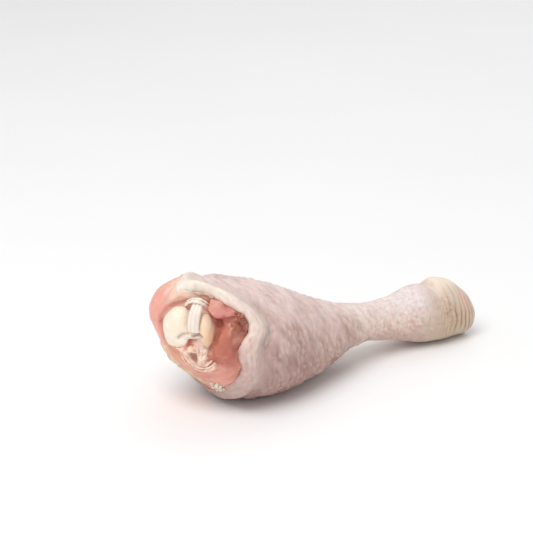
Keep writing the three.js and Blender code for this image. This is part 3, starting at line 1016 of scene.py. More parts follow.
def meat_tint(colours, points, on_cut, seams):
    """The colour of each point of the meat, where on_cut is 1 on the cut face."""
    t, z = points @ ACROSS, points[..., 2]

    def spot(middle, size):
        return face_spot(t, z, middle, size)

    wave = noise(points, 4, 31)
    lower = 1 - ramp(lobe_share(t, z, "lower_lobe"), 0.75, 1.2)
    low = 1 - ramp(lobe_share(t, z, "low_lobe"), 0.75, 1.2)
    upper = 1 - ramp(lobe_share(t, z, "upper_lobe"), 0.6, 1.1)
    gap = hump(t, 16.5, 7) * hump(z - 0.16 * (t - 17), 39.8, 1.3)
    knuckle_rim = hump(bone_ring(t, z), 1.0, 0.1)
    clot_line = [(6.4, 30.4), (6.0, 29.0), (6.8, 28.6)]
    clot = hump(distance_from(np.stack([t, z], axis=-1), clot_line), 0, 1.1)
    tissue = spot((9.6, 28.8), (2.8, 2.8)) + 0.8 * spot((9.6, 24), (2.6, 3.4))
    ragged = 0.85 + 1.2 * noise(points, 1.2, 35, (1, 1, 3))
    cut_layers = [
        (colours.muscle_dark, lower),
        (colours.muscle_dark, 0.7 * spot((12.5, 25), (5, 9))),
        (colours.lobe, 1.1 * upper),
        (colours.muscle_dark, 0.5 * spot((12.2, 43), (2.8, 3))),
        (colours.low_muscle, low),
        # Painted highlight on the bulge of the lower lobe.
        (colours.lower_lobe_highlight, 0.8 * spot((19.6, 36.4), (3.0, 2.2))),
        # Painted shade near the skin's edge on the right of the cut.
        (colours.deep_muscle_and_shade, 0.65 * spot((23, 28), (3, 8))),
        (colours.low_muscle, 0.45 * spot((20, 20), (5, 3.5))),
        # Painted highlight on the top of the upper lobe, in the film's colour.
        (colours.fascia_and_highlight, 0.3 * spot((16.4, 45.2), (2.6, 1.6)) * (1 + wave)),
        (colours.lobe, 0.3 * spot((-8, 46), (5, 5))),
    ]
    fascia_and_highlight = spot((5, 48.5), (9.5, 4.6))
    fascia_and_highlight = fascia_and_highlight + 0.8 * spot((-3, 47), (6, 4)) + 0.5 * spot((-4, 51), (4, 3))
    tissue_and_shade_layers = [
        # Painted shade in the crease between the lobes and in the hollow round the knuckles.
        (colours.deep_muscle_and_shade, 0.5 * gap),
        (colours.deep_muscle_and_shade, 0.45 * knuckle_rim),
        (colours.capsule, 0.75 * tissue),
        (colours.fringe, 0.4 * spot((0.5, 22.5), (5.5, 4.5)) * (1 + wave)),
        (colours.fringe, np.clip(spot((1.6, 26.0), (3.6, 2.2)) * ragged, 0, 0.9)),
    ]
    marbled = np.clip(0.4 + 1.2 * noise(points, 5, 40), 0, 1)
    speckle = np.clip(3 * noise(points, 1.5, 43), 0, 1)
    notch = spot((24.2, 38.4), (3.2, 3.9)) * (1 + 0.5 * wave)
    layers = [
        (colours.muscle_dark, 0.35 * seams),
        (colours.fat, np.clip(1.4 * seams - 0.7, 0, 0.7) * marbled),
        *((paint, share * on_cut) for paint, share in cut_layers),
        (colours.fascia_and_highlight, np.clip(fascia_and_highlight * (1 + 0.3 * wave), 0, 1)),
        *((paint, share * on_cut) for paint, share in tissue_and_shade_layers),
        (colours.bruise, 0.5 * spot((8.6, 16.6), (3.0, 1.3)) * speckle),
        (colours.clot, 0.85 * clot * on_cut),
        # Painted shade in the slit of the torn capsule.
        (colours.slit_and_crease_shade, 0.9 * spot((8.2, 24.3), (1.7, 2.6)) * on_cut),
        (colours.bruise, np.clip(1.35 * notch, 0, 1)),
    ]
    return blend_colours(colours.muscle, layers)


def lobed_face(radius, turn):
    """The cut face with its lobes, which fade where it turns away and at its rim."""
    face = face_points(radius, turn)
    facing = normals_of(face) @ OUTWARD
    facing[:POLE_RINGS] = facing[POLE_RINGS].mean()
    left = 1 - ramp(face @ ACROSS, -3, 5)
    facing = ramp(facing, 0.05 - 0.05 * left, 0.4 + 0.25 * left)
    lift = face_relief(face) * (1 - ramp(radius, 0.94, 1.0)) * facing
    return face + lift[..., None] * OUTWARD


def meat_behind(turn):
    """The bare meat behind the cut face, and the meat that the skin covers."""
    start, end = knee_edge(turn) + TUCKED_IN, ankle_edge(turn) - SHORT_OF_ANKLE
    share = (np.arange(1, BARE_RINGS + 1) / BARE_RINGS)[:, None, None]
    bare = mix(shoulder_points(turn), meat_points(start, turn), share)
    share = (np.arange(1, HIDDEN_RINGS + 1) / HIDDEN_RINGS)[:, None] ** 1.15
    hidden = meat_points(mix(start, end, share), turn)
    sink = 1.3 * ramp(share * (end - start), 1, 5) * (1 - ramp(share, 0.9, 0.97))
    return bare, hidden - normals_of(hidden) * sink[..., None]


def meat_relief(rings, turn, seen):
    """How far the meat stands out where it is seen, and how deep each point lies in a seam."""
    bend = 10 * noise(round_points(turn, 9) + rings, 14, 38)
    seams = near_turn(turn, 96 + bend, 4) + 0.8 * near_turn(turn, 142 + bend, 4)
    seams = seams * ramp(rings[..., 0], -4, 1) * seen
    relief = 0.28 * noise(rings, 6.5, 32) + 0.12 * noise(rings, 2.2, 33)
    relief = relief + 0.05 * noise(rings, 0.9, 34, (2, 1, 5))
    bulge = 1.5 * near_turn(turn, 74, 34) * hump(rings[..., 0], 0.0, 6)
    bulge = bulge - 0.7 * seams + 0.25 * noise(rings, 4.5, 39) * near_turn(turn, 112, 50)
    lumpy = 1.15 * noise(rings, 3.8, 36) + 0.28 * noise(rings, 1.5, 37)
    lumpy = lumpy * ramp(rings @ ACROSS, 9, 13) * (0.35 + 0.65 * ramp(rings[..., 2], 16, 26))
    return (relief + bulge + lumpy) * seen, seams


def meat_rings():
    """The meat as rings from the middle of the cut face to the ankle, with their outward
    directions, how much each point belongs to the face and how deep it lies in a seam."""
    turn = np.linspace(0, 360, FACE_AROUND, endpoint=False)[None, :]
    radius = (np.arange(1, FACE_RINGS + 1)[:, None] / FACE_RINGS) ** 0.85
    rings = np.concatenate([lobed_face(radius, turn), *meat_behind(turn)])
    on_cut, seen = np.zeros(rings.shape[:2]), np.zeros(rings.shape[:2])
    on_cut[:FACE_RINGS] = 1 - ramp(radius, 0.9, 1.0) * 0.4
    on_cut[FACE_RINGS:SEEN_RINGS] = 0.5
    seen[:SEEN_RINGS] = 1
    relief, seams = meat_relief(rings, turn, seen)
    rings = rings + normals_of(rings) * relief[..., None]
    rings[..., 2] = soft_floor(rings[..., 2], 0.4)
    return rings, normals_of(rings), on_cut, seams


def build_meat(colours):
    """The meat, from its cut face to the ankle."""
    rings, _, on_cut, seams = meat_rings()
    paint = meat_tint(colours, rings, on_cut, seams)
    ankle_pole = np.array([ANKLE_END - 4.8, 0, float(middle_height(ANKLE_END))])
    points, quads, caps = closed_rings(rings, [rings[0].mean(axis=0), ankle_pole])
    tint = np.concatenate([paint.reshape(-1, 3), [paint[0, 0], paint[-1, 0]]])
    mesh = mesh_from("meat_body", points, quads, caps, tint)
    show(mesh, "meat", "meat", material=meat_finish(colours))


def face_place(t, n, z):
    """The place that far across the cut face, out from it and up."""
    t, n, z = np.broadcast_arrays(t, n, z)
    return t[..., None] * ACROSS + n[..., None] * OUTWARD + z[..., None] * UP


def face_finder():
    """Finds the meat's face at places across it: how far out it lies, and where it was missed."""
    rings = meat_rings()[0]
    quads = loft(rings.shape[:2])
    tree = BVHTree.FromPolygons(
        [Vector(p) for p in rings.reshape(-1, 3)], [tuple(int(i) for i in q) for q in quads]
    )

    def out_at(t, z):
        result = np.full(len(t), np.nan)
        for k, start in enumerate(face_place(t, RAY_START, z)):
            hit = tree.ray_cast(Vector(start), Vector(-OUTWARD), RAY_LENGTH)[0]
            if hit is not None:
                result[k] = np.array(hit) @ OUTWARD
        return result

    return out_at


def open_sides(cells, total):
    """The sides of a sheet's cells that no other cell shares, as start and end points."""
    edges = np.stack([cells, np.roll(cells, -1, axis=1)], axis=-1).reshape(-1, 2)
    code = edges[:, 0] * total + edges[:, 1]
    opposite = edges[:, 1] * total + edges[:, 0]
    return edges[~np.isin(code, opposite)].T


def face_pad(name, finish, slot, node, rows, turns, lift_at, tint_at, depth):
    """A pad grown from a patch of the meat: raised where lift_at is positive, sunk elsewhere. The
    patch runs between two of the meat's rings, and between two turns in degrees."""
    rings, normal = meat_rings()[:2]
    start, end = (round(turn / 360 * FACE_AROUND) for turn in turns)
    columns = np.arange(start, end + 1) % FACE_AROUND
    patch = rings[rows[0] : rows[1]][:, columns]
    out = normal[rows[0] : rows[1]][:, columns]
    t, z = patch @ ACROSS, patch[..., 2]
    lift = np.maximum(lift_at(t, z, patch), THINNEST_PAD - depth)
    front = patch + out * lift[..., None]
    back = patch - out * depth
    front[..., 2] = soft_floor(front[..., 2], 0.3)

    index = np.arange(lift.size).reshape(lift.shape)
    cells = np.stack([index[:-1, :-1], index[1:, :-1], index[1:, 1:], index[:-1, 1:]], axis=-1)
    cells = cells.reshape(-1, 4)
    cells = cells[lift.ravel()[cells].max(axis=1) > LOWEST_LIFT]
    below = index.size
    rim, after = open_sides(cells, below)
    side = np.stack([after, rim, rim + below, after + below], axis=-1)
    quads = np.concatenate([cells, cells[:, ::-1] + below, side])
    points = np.concatenate([front.reshape(-1, 3), back.reshape(-1, 3)])
    tint = np.concatenate([tint_at(t, z, front, lift).reshape(-1, 3)] * 2)
    used, quads = np.unique(quads, return_inverse=True)
    mesh = mesh_from(name, points[used], quads.reshape(-1, 4), (), tint[used])
    show(mesh, slot, node, material=finish)


# ---- Bone and gristle ----

# along, y, z, radius
BONE_SECTIONS = np.array([
    (2.5, -6.5, 33.5, 7.5),
    (15, -4.6, 28.5, 5.2),
    (40, -2.2, 20.5, 3.8),
    (82, -0.4, 15.4, 3.3),
    (118, 0, 11.8, 4.4),
    (132, 0, 9.8, 5.6),
])
# centre, half sizes, lean and yaw in degrees
BONE_KNOBS = [
    ((3.6, -6.2, 34.8), (4.6, 7.2, 6.8), 0, 25),
    ((-2.2, -1.3, 34.0), (4.8, 6.0, 8.5), 14, 25),
    ((3.5, -11.8, 35.0), (4.1, 2.6, 6.3), -6, 25),
    ((-1.7, -3.2, 29.9), (3.8, 3.7, 3.8), 0, 25),
    ((1.2, -6.2, 33.2), (4.8, 4.8, 2.3), 4, 25),
    ((133.4, 3.4, 9.6), (2.8, 3.2, 5.2), 0, 0),
    ((133.4, -3.4, 9.6), (2.8, 3.2, 5.2), 0, 0),
]


def knob_rings(centre, half, lean, yaw, rings=28, around=40):
    """A ball with those half sizes, as rings from its front pole to its back one."""
    polar = np.linspace(0, np.pi, rings + 2)[1:-1, None]
    angle = np.linspace(0, math.tau, around, endpoint=False)[None, :]
    x = -np.cos(polar) + 0 * angle
    y, z = np.sin(polar) * np.sin(angle), np.sin(polar) * np.cos(angle)
    x, y, z = x * half[0], y * half[1], z * half[2]
    tilt, swing = math.radians(lean), math.radians(yaw)
    y, z = y * math.cos(tilt) - z * math.sin(tilt), y * math.sin(tilt) + z * math.cos(tilt)
    x, y = x * math.cos(swing) - y * math.sin(swing), x * math.sin(swing) + y * math.cos(swing)
    return np.stack([x, y, z], axis=-1) + np.array(centre)


def merged(parts):
    """Several (points, quads, triangles) as one."""
    points, quads, triangles, first = [], [], [], 0
    for p, q, c in parts:
        points.append(p)
        quads.append(q + first)
        triangles.append(c + first)
        first += len(p)
    return np.concatenate(points), np.concatenate(quads), np.concatenate(triangles)


def fused(name, parts, cell):
    """One closed mesh from overlapping ones, remade from small cells: points, directions, quads."""
    holder = add_object(name, mesh_from(name, *merged(parts)))
    remesh = holder.modifiers.new("cells", "REMESH")
    remesh.mode = "VOXEL"
    remesh.voxel_size = cell / 1000
    smooth = holder.modifiers.new("smooth", "SMOOTH")
    smooth.iterations = 6
    smooth.factor = 0.5
    made = plain_mesh(holder)
    points, normal = leg_points_of(made), point_values(made, "normal")
    quads = np.array([tuple(p.vertices) for p in made.polygons])
    bpy.data.meshes.remove(made)
    return points, normal, quads


def build_bone(colours):
    """The leg bone, its two knuckles at the knee and its end at the ankle."""
    stations = np.linspace(BONE_SECTIONS[0, 0], BONE_SECTIONS[-1, 0], 60)
    angle = np.linspace(0, math.tau, 36, endpoint=False)[None, :]
    y, z, radius = (curve_through(BONE_SECTIONS, c)(stations)[:, None] for c in (1, 2, 3))
    x = stations[:, None] + 0 * angle
    shaft = np.stack([x, y + radius * np.sin(angle), z + radius * np.cos(angle)], axis=-1)
    parts = [closed_tube(shaft)] + [closed_tube(knob_rings(*knob)) for knob in BONE_KNOBS]
    points, normal, quads = fused("rough_bone", parts, 0.5)
    t, z = points @ ACROSS, points[..., 2]
    knee = 1 - ramp(points[..., 0], 8, 14)
    lump = 0.3 * noise(points, 4.5, 41) + 0.1 * noise(points, 1.6, 42)
    places = np.stack([t, z], axis=-1)
    left_crease = distance_from(places, [(2.8, 31.6), (4.6, 33.2), (6.4, 34.2)])
    right_crease = distance_from(places, [(8.8, 33.0), (10.4, 34.2), (12.0, 33.6)])
    crease = 0.7 * hump(left_crease, 0, 0.55) + 1.1 * hump(right_crease, 0, 0.7)
    facet = 0.5 * face_spot(t, z, (-3.4, 30.0), (2.4, 2.8))
    points = points + normal * (lump - (crease + facet) * knee)[:, None]
    layers = [
        (colours.gristle_warm, ramp(t, 10.0, 13.0) * (0.95 - 0.45 * ramp(z, 33, 39)) * knee),
        (colours.gristle_shade, 0.55 * face_spot(t, z, (6.4, 37.5), (1.0, 4.5)) * knee),
        (colours.tendon, face_spot(t, z, (6.0, 31.0), (4.2, 1.8)) * knee),
        # Painted shade along the carved creases of the knuckles.
        (colours.slit_and_crease_shade, np.clip(0.9 * crease, 0, 0.8) * knee),
        (colours.marrow, 0.35 * ramp(points[..., 0], 120, 134)),
    ]
    mesh = mesh_from("leg_bone_gristle", points, quads, (), blend_colours(colours.gristle, layers))
    finish = gristle_finish("bone_gristle", colours, colours.gristle_mottle, (1, 1, 2.0))
    show(mesh, "gristle", "leg_bone", material=finish)


def build_tendon(sizes, colours):
    """A flat ribbed band that climbs out of the groove between the knee knuckles and over them."""
    def squared(wave):
        """A wave with fuller shoulders, for a flat band with round edges."""
        return np.sign(wave) * np.abs(wave) ** 0.7

    centre, radius = np.array([6.4, -7.5, 37.4]), 10.6
    width, thick = sizes.tendon_width * 1000, 2.6
    swing = np.radians(np.linspace(-55, 21, 70))[:, None]
    angle = np.linspace(0, math.tau, 60, endpoint=False)[None, :]
    taper = 1 - 0.25 * ramp(-swing, np.radians(38), np.radians(56))
    across = width / 2 * taper * squared(np.sin(angle))
    rise = thick / 2 * squared(np.cos(angle))
    rib = 0.15 * np.sin(across * 3.6 + 0.4 * np.sin(swing * 5)) * (np.cos(angle) > 0)
    rib = rib + 0.06 * np.sin(across * 9.3 + 1)
    dive = 3.2 * ramp(swing, np.radians(9), np.radians(19))
    out = radius - thick / 2 + rise + rib * np.abs(np.cos(angle)) - dive
    rings = centre + face_place(across, out * np.cos(swing), -out * np.sin(swing))
    rings = rings + 0.12 * noise(rings, 2.5, 51)[..., None] * OUTWARD
    points, quads, caps = closed_tube(rings)
    between_ribs = np.append((0.5 - 2.2 * rib + 0 * swing).ravel(), [0, 0])
    layers = [(colours.gristle_shade, 0.4 * np.clip(between_ribs, 0, 1))]
    paint = blend_colours(colours.tendon, layers)
    mesh = mesh_from("knee_tendon", points, quads, caps, paint)
    finish = gristle_finish("tendon", colours, colours.gristle_mottle, (1, 1, 6), 0.3)
    show(mesh, "ligament", "knee_ligament", material=finish)


def strand_lines(paths):
    """A mesh of lines, with the thickness of each of their points."""
    points, edges, thick = [], [], []
    for path, sizes in paths:
        first = len(points)
        points.extend(path)
        thick.extend(sizes)
        edges.extend((first + k, first + k + 1) for k in range(len(path) - 1))
    mesh = bare_mesh("strand_lines", points, edges)
    add_value(mesh, "thick", np.array(thick) / 1000)
    return mesh


def smooth_path(corners, count):
    """A smooth line through the corners."""
    corners = np.asarray(corners, dtype=float)
    steps = np.concatenate([[0], np.cumsum(np.linalg.norm(np.diff(corners, axis=0), axis=1))])
    table = np.column_stack([steps, corners])
    at = np.linspace(0, steps[-1], count)
    return np.stack([curve_through(table, c)(at) for c in (1, 2, 3)], axis=-1)


def thread(corners, thick, count, blunt, waver, wave):
    """A smooth thread through the corners, thin at its ends and a little uneven: its points and
    their thickness. The wave is the noise's length and seed."""
    path = smooth_path(corners, count)
    ends = np.sqrt(np.sin(np.linspace(blunt, math.pi - blunt, count)))
    return path, thick * (1 + waver * noise(path, *wave)) * ends


def show_strands(name, paths, finish, slot, base, shade):
    """Makes a ragged piece from strands along the paths, shaded in their hollows."""
    inputs = {"Finish": finish, "Sides": 14}
    mesh = bake(strand_lines(paths), strand_tree(), inputs, name)
    points = leg_points_of(mesh)
    ragged = 0.22 * noise(points, 1.6, 61) + 0.12 * noise(points, 0.7, 62)
    points = points + point_values(mesh, "normal") * ragged[:, None]
    share = np.clip(0.45 - 2.2 * ragged, 0, 1)
    mesh.vertices.foreach_set("co", in_metres(points).ravel())
    add_tint(mesh, blend_colours(base, [(shade, share * 0.7)]))
    mesh.shade_smooth()
    mesh.update()
    show(mesh, slot)


# The capsule's bands: their corners across and up the face, half width, height.
CAPSULE_BANDS = [
    ([(4.2, 27.0), (5.2, 25.6), (6.2, 23.4), (7.6, 21.3), (9.8, 19.9)], 0.9, 1.9),
    ([(9.4, 19.8), (11.0, 19.6), (13.2, 20.0), (14.8, 21.0)], 1.3, 2.2),
    ([(10.2, 30.6), (10.1, 27.6), (10.9, 24.2), (11.0, 21.2)], 1.9, 2.0),
    ([(13.2, 20.4), (13.6, 22.4)], 0.8, 1.6),
    ([(6.6, 27.0), (8.2, 27.6), (9.6, 26.8)], 1.35, 1.6),
    ([(9.8, 22.4), (10.8, 21.4)], 1.2, 1.7),
]
# The capsule's threads: their corners across, up and out from the face, and half thickness.
CAPSULE_THREADS = [
    ([(4.0, 27.2, 0.4), (5.2, 25.4, 1.1), (6.4, 22.8, 1.3), (9.2, 20.4, 1.2)], 0.44),
    ([(5.0, 27.0, 0.4), (6.0, 25.0, 1.0), (7.2, 23.0, 1.2), (10.0, 21.2, 1.2)], 0.3),
    ([(3.0, 26.6, 0.2), (4.2, 24.6, 0.8), (5.6, 21.8, 1.0), (8.4, 19.6, 1.0)], 0.28),
    ([(9.2, 30.6, 0.5), (9.5, 27.6, 0.9), (9.7, 24.6, 1.0), (9.6, 21.4, 1.1)], 0.42),
    ([(11.0, 31.0, 0.6), (11.2, 27.8, 1.0), (11.2, 24.4, 1.1), (10.9, 20.8, 1.3)], 0.3),
    ([(12.5, 30.4, 0.2), (12.6, 27.4, 0.6), (12.4, 24.4, 0.8), (12.4, 21.0, 1.1)], 0.36),
    ([(8.0, 19.8, 1.1), (10.6, 19.1, 1.3), (13.0, 19.6, 1.4), (15.6, 21.4, 0.5)], 0.42),
    ([(8.6, 20.6, 1.2), (11.4, 20.2, 1.6), (13.8, 21.0, 1.4), (16.2, 22.8, 0.2)], 0.36),
    ([(11.6, 20.6, 1.2), (13.2, 22.0, 1.2), (14.6, 23.6, 0.4)], 0.36),
    ([(5.0, 24.8, 0.9), (4.6, 22.8, 0.3), (4.8, 20.8, 0.0)], 0.26),
    ([(5.6, 26.4, 1.0), (7.4, 27.2, 1.2), (9.6, 26.4, 1.3)], 0.34),
    ([(1.2, 27.2, 0.1), (3.2, 27.0, 0.5), (5.4, 26.0, 1.0)], 0.26),
]


def build_capsule(colours):
    """The torn web of the joint's capsule under the knuckles, with its loose threads."""
    finish = gristle_finish("torn_capsule", colours, colours.capsule_mottle, (1, 1, 3), 0.34)

    def lift_at(t, z, points):
        wave = noise(points, 2.1, 81)
        rise = np.zeros_like(t)
        for corners, width, height in CAPSULE_BANDS:
            away = distance_from(np.stack([t, z], axis=-1), corners)
            rise = np.maximum(rise, height * hump(away, 0, width * (1.15 + 0.35 * wave)))
        torn = 0.35 * wave + 0.4 * noise(points, 1.0, 82, (1, 1, 2.5))
        torn = torn - 0.4 * np.abs(noise(points, 1.7, 83))
        return rise * (1 + 0.25 * wave) + torn * np.clip(rise, 0, 1) - 0.7

    def tint_at(t, z, points, lift):
        low = 1 - ramp(lift, -0.3, 0.8)
        rose = np.clip(0.5 + noise(points, 2.6, 84), 0, 1)
        layers = [
            (colours.capsule_mottle, 0.5 * rose),
            (colours.gristle, hump(t, 11.5, 1.6) * ramp(z, 22, 25) * 0.8),
            (colours.capsule_shade, 0.6 * low),
        ]
        return blend_colours(colours.capsule, layers)

    face_pad(
        "torn_capsule", finish, "capsule", "joint_capsule",
        rows=(24, FACE_RINGS), turns=(-165, -84), lift_at=lift_at, tint_at=tint_at, depth=1.4,
    )
    out_at = face_finder()
    paths = []
    for corners, thick in CAPSULE_THREADS:
        t, z, stand_out = np.array(corners).T
        places = face_place(t, out_at(t, z) + stand_out, z)
        paths.append(thread(places, thick, 30, 0.12, 0.35, (2.2, 63)))
    show_strands(
        "capsule_threads", paths, finish, "capsule", colours.capsule, colours.capsule_mottle
    )


# Across, up and out from the face.
TENDON_ARCH = np.array([
    (2.2, 41.4, 0.4), (3.2, 42.9, 1.8), (4.7, 44.4, 2.6), (6.6, 45.6, 3.5), (8.8, 46.5, 4.3),
    (10.6, 46.4, 4.1), (11.4, 45.4, 2.8), (11.5, 44.0, 1.0), (11.2, 42.6, -1.4),
])


def build_tendon_rim(colours):
    """The bright rim that arches over the top of the knee's tendon, as two strands."""
    t, z, n = TENDON_ARCH.T
    inner = face_place(t, n, z)
    outer = face_place(t + 0.05 * (t - 8), n - 0.6, z + 0.8)
    paths = [
        thread(places, thick, 36, 0.1, 0.25, (2, 64))
        for places, thick in ((inner, 0.58), (outer, 0.46))
    ]
    finish = gristle_finish("tendon_rim", colours, colours.gristle_mottle, (1, 1, 3), 0.3)
    show_strands("tendon_rim", paths, finish, "ligament", colours.tendon, colours.capsule)


# ---- Fat ----


def build_fat_layer(colours):
    """The pad of fat and film under the skin at the top of the cut."""
    finish = gristle_finish("soft_fat", colours, colours.fat_mottle, (1, 1, 1), 0.38)

    def lift_at(t, z, points):
        bottom = 45.6 - 0.014 * (t - 8) ** 2 + 0.5 * np.sin(t * 0.9) + 0.6 * noise(points, 3, 74)
        side = ramp(t, -8, -2) * (1 - ramp(t, 19, 23))
        ragged = 0.12 * noise(points, 2.4, 71) + 0.06 * noise(points, 1, 72)
        return (1.5 * ramp(z, bottom - 0.6, bottom + 1.6) + ragged) * side - 0.7

    def tint_at(t, z, points, lift):
        cream = np.clip(ramp(z, 47.0, 50.0) + ramp(t, 10, 17) * 0.8, 0, 1)
        thin = 1 - ramp(lift, -0.1, 0.5)
        return blend_colours(colours.fascia_and_highlight, [(colours.fat, cream), (colours.muscle, 0.4 * thin)])

    face_pad(
        "fat_pad", finish, "fat", "fat_layer",
        rows=(30, SEEN_RINGS), turns=(-62, 20), lift_at=lift_at, tint_at=tint_at, depth=1.3,
    )


def build_fat_strip(colours):
    """The strip of tan fat down the far edge of the cut."""
    finish = gristle_finish("fat_strip", colours, colours.fat_mottle, (1, 1, 1), 0.38)
    # up, across
    middle_line = np.array([
        (11.6, 9.0), (14.0, 4.8), (16.2, 1.6), (20.0, -1.9), (23.3, -4.2), (28.0, -7.4),
    ])

    def lift_at(t, z, points):
        middle = np.interp(z, middle_line[:, 0], middle_line[:, 1])
        away = np.abs(t - middle) * 0.7
        ends = ramp(z, 10.5, 13.5) * (1 - ramp(z, 24.5, 28.5))
        ragged = 0.25 * noise(points, 2.2, 75) + 0.1 * noise(points, 1, 76)
        return (1.5 + 2 * ragged) * (1 - ramp(away, 1.0, 2.8)) * ends - 0.6

    def tint_at(t, z, points, lift):
        pale = np.clip(0.5 + 0.7 * noise(points, 1.8, 73), 0, 1)
        thin = 1 - ramp(lift, -0.2, 0.4)
        layers = [(colours.fat, 0.4 * pale), (colours.low_muscle, 0.6 * thin)]
        return blend_colours(colours.strip, layers)

    face_pad(
        "fat_ribbon", finish, "strip", "fat_strip",
        rows=(30, SEEN_RINGS), turns=(112, 205), lift_at=lift_at, tint_at=tint_at, depth=1.2,
    )


# Where the crumbs gather, across and up the face.
CRUMB_SPOTS = [(13.6, 10.8), (12.3, 9.4), (14.6, 9.6), (12.9, 12.0)]
GRAIN_SPOTS = [
    (21.6, 41.2), (23.0, 40.2), (24.2, 39.0), (24.6, 37.6), (25.2, 36.2), (22.8, 38.4)
]
# A crumb that would land further in than this is left out.
DEEPEST_CRUMB = -7


def build_crumbs(colours):
    """Crumbs of fat at the bottom of the cut, and torn grains in the notch of the skin."""
    out_at = face_finder()
    dice = np.random.default_rng(5)

    def cluster(spots, spread, count, stand_out):
        t, z = [], []
        for at_t, at_z in spots:
            t.extend(at_t + spread * dice.normal(size=count))
            z.extend(at_z + spread * dice.normal(size=count))
        t, z = np.array(t), np.array(z)
        out = out_at(t, z)
        found = ~np.isnan(out) & (out > DEEPEST_CRUMB)
        return face_place(t[found], out[found] + stand_out, z[found])

    def scatter(name, places, finish, slot, paint, sizes, seed):
        inputs = {"Smallest": sizes[0], "Largest": sizes[1], "Seed": seed, "Finish": finish}
        mesh = bake(bare_mesh(name + "_places", places), crumb_tree(), inputs, name)
        share = np.clip(0.5 + noise(leg_points_of(mesh), 1.2, seed), 0, 1)
        add_tint(mesh, blend_colours(paint[0], [(paint[1], share)]))
        show(mesh, slot)

    fat = gristle_finish("fat_crumbs", colours, colours.fat_mottle, (1, 1, 1), 0.36)
    places = cluster(CRUMB_SPOTS, 0.85, 6, 0.3)
    paint = (colours.fat, colours.fat_mottle)
    scatter("fat_crumbs", places, fat, "fat", paint, (0.0005, 0.0011), 3)
    torn = gristle_finish("torn_grains", colours, colours.bruise, (1, 1, 1), 0.36)
    places = cluster(GRAIN_SPOTS, 0.8, 12, 0.1)
    paint = (colours.bruise, colours.deep_muscle_and_shade)
    scatter("torn_grains", places, torn, "meat", paint, (0.0004, 0.0009), 8)


ANKLE_TENDONS, TENDON_STATIONS = 11, 16
# Where along the leg the ankle's tendons start, and where its opening is measured.
TENDON_START, OPENING = 126.0, 136


def build_ankle(colours):
    """The cut tendons round the bone in the open end of the ankle."""
    dice = np.random.default_rng(23)
    middle, half = float(middle_height(OPENING)), float(half_height(OPENING))
    taper = np.ones(TENDON_STATIONS)
    taper[-2:] = (0.94, 0.72)
    paths = []
    for k in range(ANKLE_TENDONS):
        angle = math.radians(30 + k * 360 / ANKLE_TENDONS + dice.uniform(-17, 17))
        reach = half * dice.uniform(0.52, 0.76)
        y, z = reach * math.sin(angle), middle + reach * math.cos(angle)
        start = np.array([TENDON_START, y, z])
        tip = start + np.array([dice.uniform(8.2, 11.2), 0, 0])
        tip[1:] += (np.array([0, middle]) - tip[1:]) * dice.uniform(-0.1, 0.12)
        path = smooth_path([start, mix(start, tip, 0.5), tip], TENDON_STATIONS)
        paths.append((path, dice.uniform(0.6, 1.9) * taper))
    finish = gristle_finish("ankle_tendons", colours, colours.gristle_mottle, (5, 1, 1), 0.32)
    show_strands("ankle_tendons", paths, finish, "ligament", colours.tendon, colours.low_muscle)


# ---- The stage ----

FLOOR_SIZE = 6.0
LAMP_AIM = Vector((0, 0, 0.02))


def build_stage(stage):
    """The camera, the floor, two soft lamps and a light from all round."""
    back = Vector((
        math.cos(stage.elevation) * math.sin(stage.azimuth),
        -math.cos(stage.elevation) * math.cos(stage.azimuth),
        math.sin(stage.elevation),
    ))
    camera = add_object("camera", bpy.data.cameras.new("camera"))
    camera.data.lens = stage.lens
    camera.data.sensor_width = 36
    camera.data.clip_end = 50
    camera.location = Vector(stage.aim) + back * stage.distance
    camera.rotation_euler = back.to_track_quat("Z", "Y").to_euler()
    bpy.context.scene.camera = camera

    corners = [(x * FLOOR_SIZE, y * FLOOR_SIZE, 0) for x, y in ((-1, -1), (1, -1), (1, 1), (-1, 1))]
    mesh = bpy.data.meshes.new("floor")
    mesh.from_pydata(corners, [], [(0, 1, 2, 3)])
    mesh.materials.append(floor_finish(stage.floor_colour))
    floor = add_object("floor", mesh)

    def lamp(name, place, width, watts):
        light = bpy.data.lights.new(name, "AREA")
        light.shape = "DISK"
        light.size = width
        light.energy = watts
        holder = add_object(name, light)
        holder.location = place
        holder.rotation_euler = (LAMP_AIM - Vector(place)).to_track_quat("-Z", "Y").to_euler()

    lamp("key_light", stage.key_place, stage.key_width, stage.key_power)
    lamp("fill_light", stage.fill_place, stage.fill_width, stage.fill_power)

    world = bpy.data.worlds.new("studio")
    world.use_nodes = True
    background = world.node_tree.nodes["Background"]
    background.inputs["Color"].default_value = (1, 1, 1, 1)
    background.inputs["Strength"].default_value = stage.world_strength
    bpy.context.scene.world = world
    bpy.context.scene.view_settings.view_transform = "Standard"


# ---- What a user may change ----


def shade(name, description, code):
    """A colour that a user may change, from its six-digit hex code."""
    return FloatVectorProperty(
        name=name, description=description, default=colour(code),
        subtype="COLOR", size=3, min=0, max=1,
    )


class DrumstickSizes(bpy.types.PropertyGroup):
    """Sizes of the small features."""

    follicle_gap: FloatProperty(
        name="Follicle gap", description="Distance between feather follicles",
        default=0.0034, min=0.001, max=0.01, unit="LENGTH",
    )
    follicle_radius: FloatProperty(
        name="Follicle radius", description="Reach of the bump round each follicle",
        default=0.0013, min=0.0002, max=0.004, unit="LENGTH",
    )
    follicle_height: FloatProperty(
        name="Follicle height", description="Height of the bump over each follicle",
        default=0.00036, min=0, max=0.002, unit="LENGTH",
    )
    tendon_width: FloatProperty(
        name="Tendon width", description="Width of the tendon over the knee",
        default=0.0045, min=0.001, max=0.01, unit="LENGTH",
    )


